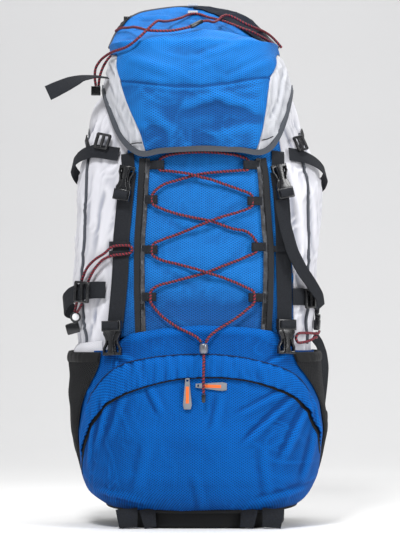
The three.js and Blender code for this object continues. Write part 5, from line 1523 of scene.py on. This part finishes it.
# %% Seats and small shapes
def seat_on(x, z, height, lean):
    z = np.array(float(z))
    angle = angle_at(SACK, x, z)
    place = above(SACK, angle, z, np.array(height))
    out = outward(SACK, angle, z)
    across = np.cross([0, 0, 1.0], out)
    across /= np.linalg.norm(across)
    rise = np.cross(out, across)
    turn = lean * DEGREE
    side = across * math.cos(turn) + rise * math.sin(turn)
    up = rise * math.cos(turn) - across * math.sin(turn)
    return place, side, up, out


def to_seat(piece, seat, shift=(0, 0, 0)):
    place, side, up, out = seat
    local = points_of(piece) / MM + np.array(shift, float)
    move_points(piece, (place + local[:, :1] * side + local[:, 1:2] * up + local[:, 2:] * out) * MM)


def block(name, width, height, depth, rounding=0.6):
    let_go()
    bpy.ops.mesh.primitive_cube_add(size=1)
    piece = bpy.context.object
    piece.name = piece.data.name = name
    move_points(piece, points_of(piece) * np.array([width, height, depth]) * MM)
    in_edit_mode(piece, lambda: bpy.ops.mesh.subdivide(number_cuts=1))
    round_edges(piece, rounding)
    return piece


def disc(name, radius, depth, rounding=0.8):
    let_go()
    bpy.ops.mesh.primitive_cylinder_add(vertices=28, radius=radius * MM, depth=depth * MM)
    piece = bpy.context.object
    piece.name = piece.data.name = name
    round_edges(piece, rounding)
    return piece


def stitch_row(name, line, outs, length=3.2, gap=1.8, thick=0.45):
    """A row of stitches: short threads that lie on the cloth, all in one mesh."""
    run = run_along(line)
    starts = np.arange(0.5, run[-1] - length, length + gap)
    across, out = band_frames(line, outs)
    pick = [lambda at, data=data, k=k: np.interp(at, run, data[:, k]) for data in (line, across, out)
            for k in range(3)]
    shares = np.array([0.0, 0.2, 0.8, 1.0])
    sizes = np.array([0.35, 1.0, 1.0, 0.35])
    sink = np.array([-0.5, 0.2, 0.2, -0.5]) * thick
    turns = np.arange(6) / 6 * 2 * math.pi
    points, faces = [], []
    for start in starts:
        base = len(points)
        for share, size, low in zip(shares, sizes, sink):
            values = np.array([function(start + share * length) for function in pick])
            middle, side, up = values[:3] + values[6:] * low, values[3:6], values[6:]
            points += [middle + (side * math.cos(t) + up * math.sin(t)) * thick * size for t in turns]
        faces += ring_faces(len(shares), len(turns), base)
    piece = skin_of(name, points, faces)
    only(piece)
    bpy.ops.object.shade_smooth()
    return piece


print("small shapes ready")

# %% [markdown]
# A side release buckle is a flat moulding with a narrow waist and two openings where its prongs snap in.
# Its outline and openings are drawn as closed curves. A filled curve with a depth and a rounded edge
# becomes the moulding. The bar at its end is a frame of its own, and the strap is rolled round it.

# %% Buckles
BUCKLE_BODY = [(15, 0), (15, 9), (12.4, 12.5), (10.4, 16), (10.4, 19), (12, 23), (14.4, 26), (14.4, 31)]
BUCKLE_OPENING = [(7.2, 3.6), (12.0, 3.6), (12.0, 8.4), (8.6, 13.2), (7.4, 18.5), (6.0, 18.5), (6.0, 9.0)]
BUCKLE_TONGUE = [(5.0, 0.6), (3.6, 8), (3.2, 16), (4.6, 24), (9.5, 30)]
FRAME = [(15.8, 29.5), (15.8, 42.5)]
FRAME_OPENING = [(12.9, 32.5), (12.9, 40.0)]


def other_half(half):
    return [(-x, y) for x, y in half[::-1]]


def mirrored(half):
    return half + other_half(half)


def filled(name, loops, depth, rounding, scale, base=0.0):
    let_go()
    curve = bpy.data.curves.new(name, "CURVE")
    curve.dimensions = "2D"
    curve.fill_mode = "BOTH"
    curve.extrude = (depth / 2 - rounding) * MM
    curve.bevel_depth = rounding * MM
    curve.bevel_resolution = 2
    curve.offset = -rounding * MM
    for loop in loops:
        spline = curve.splines.new("POLY")
        spline.points.add(len(loop) - 1)
        for point, (x, y) in zip(spline.points, loop):
            point.co = (x * scale[0] * MM, y * scale[1] * MM, 0, 1)
        spline.use_cyclic_u = True
    piece = bpy.data.objects.new(name, curve)
    bpy.context.collection.objects.link(piece)
    only(piece)
    bpy.ops.object.convert(target="MESH")
    piece = bpy.context.object
    piece.name = piece.data.name = name
    in_edit_mode(piece, merge_doubles, turn_outward)
    move_points(piece, points_of(piece) + np.array([0, 0, base + depth / 2]) * MM)
    smooth_edges(piece)
    return piece


def buckle(name, seat, scale, body_node, frame_node):
    body = [mirrored(BUCKLE_BODY), BUCKLE_OPENING, other_half(BUCKLE_OPENING)]
    frame_loops = [mirrored(FRAME), mirrored(FRAME_OPENING)]
    pieces = [(filled(name + "_body", body, 6.4, 0.9, scale), body_node),
              (filled(name + "_tongue", [mirrored(BUCKLE_TONGUE)], 3.2, 0.9, scale, 5.6), None),
              (filled(name + "_frame", frame_loops, 9.0, 1.1, scale), frame_node)]
    for piece, node in pieces:
        to_seat(piece, seat)
        finish_piece(piece, "moulding", plastic, *([node] if node else []))
    place, side, up, out = seat
    ends = np.linspace(-12.4, 12.4, 14)[:, None] * scale[0]
    roll = tube(name + "_roll", place + side * ends + up * 36.2 * scale[1] + out * 6.2, 5.6 * scale[1], 18)
    finish_piece(roll, "webbing", strapping)


for name, x, z, lean in (("left", -127, 258, 2), ("right", 121, 260, -2)):
    buckle("lower_buckle_" + name, seat_on(x, z, 6.4, lean), (0.98, 1.2), "lower_plug_" + name, None)
for name, x, z, lean in (("left", -106.5, 538, 170), ("right", 112, 540, 191)):
    buckle("upper_buckle_" + name, seat_on(x, z, 3.4, lean), (0.80, 1.22), "upper_socket_" + name,
           "upper_plug_" + name)
print("buckles done")

# %% [markdown]
# The straps are held by keepers. The pulls have an orange stripe let into the rubber. The left lock has a
# body, a ring and a white button.

# %% Keepers, stripes and the button
def keeper(name, x, height, width, half=15):
    across = np.linspace(-half, half, 30)
    z = np.full(30, height)
    angle = angle_at(SACK, x + across, z)
    hump = 3.4 - 3.0 * np.clip((np.abs(across) - half + 3) / 3, 0, 1)
    line = above(SACK, angle, z, hump + np.maximum(0, sack_waves(angle, z)))
    webbing(name, line, outward(SACK, angle, z), width, 1.2)


keeper("keeper_left_1", -120.5, 423, 8)
keeper("keeper_left_2", -120.5, 409, 8)
keeper("keeper_right_1", 122, 416, 9)
for name, x, z, height, lean in (("left", -20, 225, 7, 0), ("right", -8, 214, 5.4, 88)):
    stripe = block("pull_stripe_" + name, 4.6, 25, 1.0, 0.3)
    to_seat(stripe, seat_on(x, z, height, lean), (0, -25, 2.4))
    finish_piece(stripe, "pull", orange)
lock_facing = [np.array(axis, float) for axis in ((0.96, -0.10, 0.26), (-0.26, 0.0, 0.96), (-0.05, -1.0, -0.1))]
LOCK_PARTS = [
    # shape, place, material and the solid that it stands for
    (block("side_lock_left_body", 20, 16, 11, 2.0), (-192.0, -74.0, 297.5), plastic, ["side_lock_left"]),
    (disc("side_lock_left_ring", 8.0, 8.0, 1.4), (-188.0, -75.0, 314.0), plastic, []),
    (disc("side_lock_left_button", 5.4, 2.4), (-187.6, -80.0, 314.5), button_white, []),
]
for piece, place, material, replaced in LOCK_PARTS:
    to_seat(piece, (np.array(place), *lock_facing))
    finish_piece(piece, "moulding", material, *replaced)
print("small fittings done")

# %% [markdown]
# A row of stitches runs along the top of the compartment. Dark seams run over the arch and across the foot
# of the lid's white sides, and a black piping joins the compartment to the boot. A pale tuck of cloth fills
# the top of the left pocket, and a short tab is sewn to each side above the upper straps.

# %% Seams and stitches
sweep_angle = even_angle(-60 * DEGREE, 60 * DEGREE, np.linspace(0, 1, 200))
lip_z = compartment_top(on_skin(SACK, sweep_angle, np.full(200, 300.0))[:, 0]) - 5
lip_line = above(SACK, sweep_angle, lip_z, LIFT + CLOTH + 1.4 + 0.35 * (door_height(sweep_angle, lip_z) - 4))
lip_stitches = stitch_row("compartment_stitches", lip_line, outward(SACK, sweep_angle, lip_z))
finish_piece(lip_stitches, "blue_cloth", blue)
flap_sweep = even_angle(-72 * DEGREE, 72 * DEGREE, np.linspace(0, 1, 300))
_, flap_top = flap_edges(flap_sweep)
seam_z = flap_top + 0.8
seam_line = above(SACK, flap_sweep, seam_z, door_height(flap_sweep, seam_z) + 0.5)
flap_seam = tube("flap_seam", seam_line, 0.7, 8)
finish_piece(flap_seam, "blue_cloth", navy)
foot_sweep = even_angle(-88 * DEGREE, 88 * DEGREE, np.linspace(0, 1, 160))
foot_x = on_skin(SACK, foot_sweep, np.full(160, 36.0))[:, 0]
foot_z = 28.5 + 7 * np.abs(foot_x / 150) ** 4
foot_piping = tube("foot_piping", above(SACK, foot_sweep, foot_z, 3.0), 3.4, 12)
finish_piece(foot_piping, "black_cloth", black)


def tuck_place(u, v):
    angle = (-97 + 53 * u) * DEGREE
    z = 248 + (22 + 10 * u) * v
    bulge = np.sin(math.pi * np.clip(u, 0, 1)) * np.sin(math.pi * np.clip(v, 0, 1)) ** 0.8
    return above(SACK, angle, z, 0.2 + 9.0 * bulge + 0.6 * waves(91, u * 60, v * 40, 18) * bulge)


LID_SEAMS = {"left": [(-104, 571.5), (-95, 573), (-87, 573)], "right": [(89, 577), (98, 579), (106, 583)]}
for name, points in LID_SEAMS.items():
    x, z = through(points, 24).T
    hem_line = above(LID, angle_at(LID, x, z), z, 1.4)
    hem_seam = tube("lid_side_seam_" + name, hem_line, 0.8, 8)
    finish_piece(hem_seam, "white_cloth", black)
pale_tuck = cloth("side_tuck_left", 44, 24, tuck_place, (62, 38), 1.4)
finish_piece(pale_tuck, "white_cloth", white)
for name, top, foot in (("left", (-174, 590), (-165, 560)), ("right", (152, 594), (148, 560))):
    x, z = through([top, foot], 16).T
    angle = angle_at(SACK, x, z)
    tab = band("side_tab_" + name, above(SACK, angle, z, 1.4), outward(SACK, angle, z), 9, 1.6)
    finish_piece(tab, "black_cloth", black)
print("seams done")

# %% [markdown]
# On the crest of the lid are a dark storm flap over its zip, widened to stand in as painted shade over the
# shaded valley, a loop of pale webbing for the cords, a small knob, and a dark sleeve on the crossing cord.

# %% Fittings of the lid
def on_crest(x, y, height):
    def surface(a, b):
        return np.stack([a, b, crest_height(a, b)], -1)
    normal = np.cross(surface(x + 2, y) - surface(x - 2, y), surface(x, y + 2) - surface(x, y - 2))
    normal /= np.linalg.norm(normal, axis=-1, keepdims=True)
    return surface(x, y) + normal * height, normal


STORM_ROWS = [(-12, 40, 8), (16, 34, 26), (50, 22, 40), (82, 6, 44), (104, -8, 34)]


def storm_place(u, v):
    rows = through(STORM_ROWS, 61)[np.round(u * 60).astype(int)]
    x, y = rows[:, 0], rows[:, 1] + rows[:, 2] * (v - 0.5)
    lift = 1.8 + lid_waves(x, y, np.full_like(x, 780.0))
    line, normal = on_crest(x, y, 0)
    return line + normal * lift[:, None]


# Partly the real storm flap over the zip, partly painted shade widened over the lid's shaded valley.
storm_flap_and_shade = cloth("lid_storm_flap_and_shade", 60, 16, storm_place, (130, 40), 1.2)
finish_piece(storm_flap_and_shade, "black_cloth", storm_flap_navy_shade)
loop_grey = webbing_material("pale_webbing", linear(190, 194, 202), linear(140, 144, 152))
for number, y in enumerate((44.0, 18.0)):
    x = np.linspace(-20, -5, 12)
    line, outs = on_crest(x, np.full(12, y), 2.2)
    bar = band("lid_loop_%d" % (number + 1), line, outs, 9, 2.2)
    finish_piece(bar, "webbing", loop_grey)
cross_line = smooth_line(CROSS_CORD_ROUTE)
part = cross_line[(cross_line[:, 0] > -16) & (cross_line[:, 0] < 1)]
sleeve = tube("cord_sleeve", part, 3.3, 14)
finish_piece(sleeve, "cord", plastic)
knob = disc("lid_knob", 4.2, 8.0)
knob_place = outline[np.argmin(np.abs(outline[:, 0] + 116))]
to_seat(knob, (knob_place + (0, 0, 2.0), np.array([1.0, 0, 0]), np.array([0, 1.0, 0]), np.array([0, 0, 1.0])))
finish_piece(knob, "moulding", plastic)
print("lid fittings done")

# %% [markdown]
# The harness is padded, and padding is best made by letting cloth blow up. Each pad starts a little thinner
# than its solid, gets even squares from a voxel remesh, and is filled with pressure while gravity is off.
# No point may move further than a cap, so the pad keeps its place. The result is applied to the mesh and
# refined once.

# %% Padding tools
def bare_copy(node, name):
    piece = copy_of(node, name)
    in_edit_mode(piece, merge_doubles, turn_outward)
    return piece


def swept(name, line, outs, widths, thickness):
    """A padded bar with bevelled edges, carried along a line."""
    across, out = band_frames(line, outs)
    half = np.broadcast_to(widths, len(line))[:, None, None] / 2
    edge, rim = thickness / 2, 4.0
    corners = [(-1, 0, 0), (-1, rim, -edge), (1, -rim, -edge), (1, 0, 0), (1, -rim, edge), (-1, rim, edge)]
    points = np.concatenate([
        line[:, None, :] + across[:, None, :] * (half * side + inset) + out[:, None, :] * up
        for side, inset, up in corners], axis=1)
    return skin_of(name, points.reshape(-1, 3), ring_faces(len(line), len(corners)))


LAST_FRAME = 20


def fill_pad(piece, cell, thinner, cap, pressure=4.0):
    only(piece)
    remesh = piece.modifiers.new("even", "REMESH")
    remesh.mode = "VOXEL"
    remesh.voxel_size = cell * MM
    bpy.ops.object.modifier_apply(modifier=remesh.name)
    bpy.ops.object.mode_set(mode="EDIT")
    bpy.ops.mesh.select_all(action="SELECT")
    bpy.ops.transform.shrink_fatten(value=-thinner * MM)
    bpy.ops.mesh.vertices_smooth(factor=0.5, repeat=3)
    bpy.ops.object.mode_set(mode="OBJECT")
    start = points_of(piece).copy()
    soft = piece.modifiers.new("filling", "CLOTH")
    soft.settings.use_pressure = True
    soft.settings.uniform_pressure_force = pressure
    soft.settings.effector_weights.gravity = 0
    soft.settings.quality = 6
    soft.point_cache.frame_start, soft.point_cache.frame_end = 1, LAST_FRAME
    for frame_number in range(1, LAST_FRAME + 1):
        bpy.context.scene.frame_set(frame_number)
    shape = piece.evaluated_get(bpy.context.evaluated_depsgraph_get())
    blown = np.empty(len(shape.data.vertices) * 3)
    shape.data.vertices.foreach_get("co", blown)
    move = blown.reshape(-1, 3) - start
    piece.modifiers.remove(soft)
    size = np.linalg.norm(move, axis=1, keepdims=True)
    move_points(piece, start + move * np.minimum(1, cap * MM / np.maximum(size, 1e-9)))
    bpy.context.scene.frame_set(1)
    only(piece)
    finer = piece.modifiers.new("finer", "SUBSURF")
    finer.levels = finer.render_levels = 1
    bpy.ops.object.modifier_apply(modifier=finer.name)
    only(piece)
    bpy.ops.object.shade_smooth()
    return piece


def press(piece, depth_at):
    """Sinks sewn lines into a pad, with painted shade in them: depth_at takes millimetres and gives how far
    each point goes in.
    """
    points = points_of(piece) / MM
    normals = np.empty(points.size)
    piece.data.vertices.foreach_get("normal", normals)
    depth = depth_at(points)
    move_points(piece, (points - normals.reshape(-1, 3) * depth[:, None]) * MM)
    piece.data.attributes.new("hollow", "FLOAT", "POINT").data.foreach_set("value", depth * 0.8)


print("padding tools ready")

# %% [markdown]
# The back pad is one quilted piece with channels that let air through. The shoulder straps are bound with
# tape at their edges, and webbing runs down the middle of each strap. The belt has a seam pressed along its
# outer side.

# %% Harness
pad_weave = woven("pad_spacer", linear(40, 42, 46), linear(20, 21, 24), diamond=5.0, pattern=0.9, lift=0.4,
                  sheen=0.03)
back_padding = fill_pad(bare_copy("back_pad", "back_padding"), 6.0, 1.5, 6)


def quilting(points):
    x, z = points[:, 0], points[:, 2]
    back = np.clip((points[:, 1] - 104) / 6, 0, 1)
    lines = np.exp(-(x / 4.5) ** 2)
    for height in (285, 365, 445, 525):
        lines = np.maximum(lines, np.exp(-((z - height - 0.12 * np.abs(x)) / 4.0) ** 2))
    return 4.5 * lines * back


press(back_padding, quilting)
finish_piece(back_padding, "padding", pad_weave, "back_pad")
SHOULDER = [
    (48, 122.2, 600, 0, 0.5, 1, 0.9), (52, 143, 606, 0, 0.7, 1, 1), (58, 163, 588, 0, 1, 0.7, 1),
    (66, 174, 550, 0, 1, 0.2, 1), (77, 177, 490, 0, 1, 0, 1), (90, 173, 420, 0, 1, -0.1, 0.95),
    (100, 160, 350, 0, 1, -0.2, 0.85), (106, 143, 295, 0, 1, -0.3, 0.65), (106, 127, 255, 0, 1, -0.35, 0.4),
    (99, 117, 225, 0, 1, -0.2, 0.4),
]
SHOULDER_REST = {"left": 0.6, "right": -0.4}
SHOULDER_WIDTH, BELT_LEVEL, BELT_HEIGHT = 62, 150.0, 84
for name, side in SIDES:
    rows = through(SHOULDER, 90)
    line = rows[:, :3] * (side, 1, 1) + (0, SHOULDER_REST[name], 0)
    outs = rows[:, 3:6] * (side, 1, 1)
    pad = fill_pad(bare_copy("shoulder_strap_" + name, "shoulder_pad_" + name), 4.5, 1.2, 5)
    press(pad, lambda points: np.zeros(len(points)))
    finish_piece(pad, "padding", pad_weave, "shoulder_strap_" + name)
    across, out = band_frames(line, outs)
    for number, way in enumerate((-1, 1)):
        seam = line + across * (rows[:, 6:7] * SHOULDER_WIDTH / 2 - 0.5) * way
        bound = tube("shoulder_binding_%s_%d" % (name, number + 1), seam, 2.6, 10)
        finish_piece(bound, "binding", grey)
    middle = line[4:-2] + out[4:-2] * 9.0
    webbing("shoulder_webbing_" + name, middle, outs[4:-2], 20, 1.6)

BELT = [
    (0, 106.9, 0, 1, 1), (45, 106.6, 0, 1, 1), (90, 106, 0.1, 1, 1), (130, 103, 0.35, 1, 0.95),
    (164, 94, 0.7, 1, 0.85), (184, 78, 1, 0.7, 0.68), (192, 56, 1, 0.2, 0.5),
]
LIFTER = [
    (172, 26, 284, 0.75, -0.65, 0.2), (181, 31, 272, 0.75, -0.65, 0.3), (187.5, 37, 255, 0.8, -0.6, 0.2),
    (190, 43, 235, 0.8, -0.6, 0), (188.5, 48, 210, 0.8, -0.6, -0.1), (186, 53, 180, 0.85, -0.5, -0.1),
    (186, 58, 155, 0.9, -0.4, 0),
]
belt_rows = [(-x, y, -a, b, scale) for x, y, a, b, scale in BELT[:0:-1]] + BELT
belt_rows = through(belt_rows, 80)
belt_line = np.stack([belt_rows[:, 0], belt_rows[:, 1], np.full(80, BELT_LEVEL)], -1)
belt_outs = np.stack([belt_rows[:, 2], belt_rows[:, 3], np.zeros(80)], -1)
belt = fill_pad(swept("hip_padding", belt_line, belt_outs, belt_rows[:, 4] * BELT_HEIGHT, 12), 4.5, 1.2, 5)


def belt_seams(points):
    outer = np.clip((points[:, 1] - 60) / 20, 0, 1)
    return 2.2 * np.exp(-((points[:, 2] - BELT_LEVEL) / 3.0) ** 2) * outer


press(belt, belt_seams)
finish_piece(belt, "padding", pad_weave, "hip_belt")
lifter_rows = through(LIFTER, 60)
webbing("hip_lifter_webbing", lifter_rows[:, :3], lifter_rows[:, 3:], 20, 1.5)
rounded("haul_loop", "haul_webbing", "webbing", strapping, 0.3, 1)
print("harness:", len(back_padding.data.polygons), len(belt.data.polygons))

# %% [markdown]
# The pack stands on a paper sweep that runs from the floor up into a wall. The paper's colour goes from
# near white in front to pale grey at the wall, a painted falloff of light. The key light hangs above and in
# front, softer ones stand at both sides, and others hang overhead, behind the pack and in front of the
# wall. The paper is clear from behind, so that it doesn't hide the pack in a view from the back.

# %% Room and lights
def stage_material():
    material, tree, shader = new_material("studio_paper", 0.95)
    # Painted light: the paper is lighter near the pack and darker towards the wall, standing in for the fall of
    # light.
    split = add_node(tree, "ShaderNodeSeparateXYZ", {0: place_of(tree)})
    away = compute(tree, "MULTIPLY", split.outputs[1], 0.4)
    wall = colour_ramp(tree, away, [(0.06, linear(238, 238, 238)), (0.36, linear(214, 214, 214)),
                                    (0.95, linear(203, 203, 204))])
    tree.links.new(wall, shader.inputs["Base Color"])
    shader.inputs["Specular IOR Level"].default_value = 0.1
    behind = add_node(tree, "ShaderNodeNewGeometry").outputs["Backfacing"]
    clear = add_node(tree, "ShaderNodeBsdfTransparent").outputs[0]
    either = add_node(tree, "ShaderNodeMixShader", {0: behind, 1: shader.outputs[0], 2: clear})
    output = next(node for node in tree.nodes if node.type == "OUTPUT_MATERIAL")
    tree.links.new(either.outputs[0], output.inputs["Surface"])
    return material


let_go()
bpy.ops.mesh.primitive_grid_add(x_subdivisions=4, y_subdivisions=40, size=1)
sweep_paper = bpy.context.object
sweep_paper.name = sweep_paper.data.name = "studio_sweep"
share = points_of(sweep_paper) + 0.5
PAPER_LENGTH, PAPER_WIDTH, FLOOR_FRONT = 9.0, 12, -3.2
run = share[:, 1] * PAPER_LENGTH
bend, radius = 4.5, 1.2
turn = np.clip((run - bend) / (radius * math.pi / 2), 0, 1) * math.pi / 2
y = np.minimum(run, bend) + radius * np.sin(turn) + FLOOR_FRONT
z = radius * (1 - np.cos(turn)) + np.maximum(0, run - bend - radius * math.pi / 2)
move_points(sweep_paper, np.stack([(share[:, 0] - 0.5) * PAPER_WIDTH, y, z], -1))
sweep_paper.data.materials.append(stage_material())
only(sweep_paper)
bpy.ops.object.shade_smooth()


def soft_light(name, place, target, size, power):
    bpy.ops.object.light_add(type="AREA", location=place)
    light = bpy.context.object
    light.name = name
    light.data.shape = "RECTANGLE"
    light.data.size, light.data.size_y = size
    light.data.energy = power
    light.rotation_euler = (Vector(target) - Vector(place)).to_track_quat("-Z", "Y").to_euler()


soft_light("key", (-0.5, -1.7, 2.5), (0, 0, 0.5), (0.6, 0.6), 60)
soft_light("fill", (1.9, -1.3, 1.3), (0, 0, 0.4), (0.8, 1.2), 38)
soft_light("side", (-2.0, -0.9, 1.2), (0, 0, 0.4), (0.8, 1.2), 9)
soft_light("top", (0.2, 0.2, 2.6), (0, 0, 0.4), (2.0, 1.4), 34)
soft_light("back", (0.9, 1.7, 2.0), (0, 0, 0.5), (0.8, 0.8), 7)
soft_light("wall", (0.0, 0.8, 2.6), (0, 3.2, 0.8), (3.0, 0.8), 14)
world = bpy.data.worlds.new("room")
bpy.context.scene.world = world
world.use_nodes = True
world.node_tree.nodes["Background"].inputs["Color"].default_value = (1, 1, 1, 1)
world.node_tree.nodes["Background"].inputs["Strength"].default_value = 0.18
bpy.context.scene.view_settings.view_transform = "Standard"
print("room and lights done")
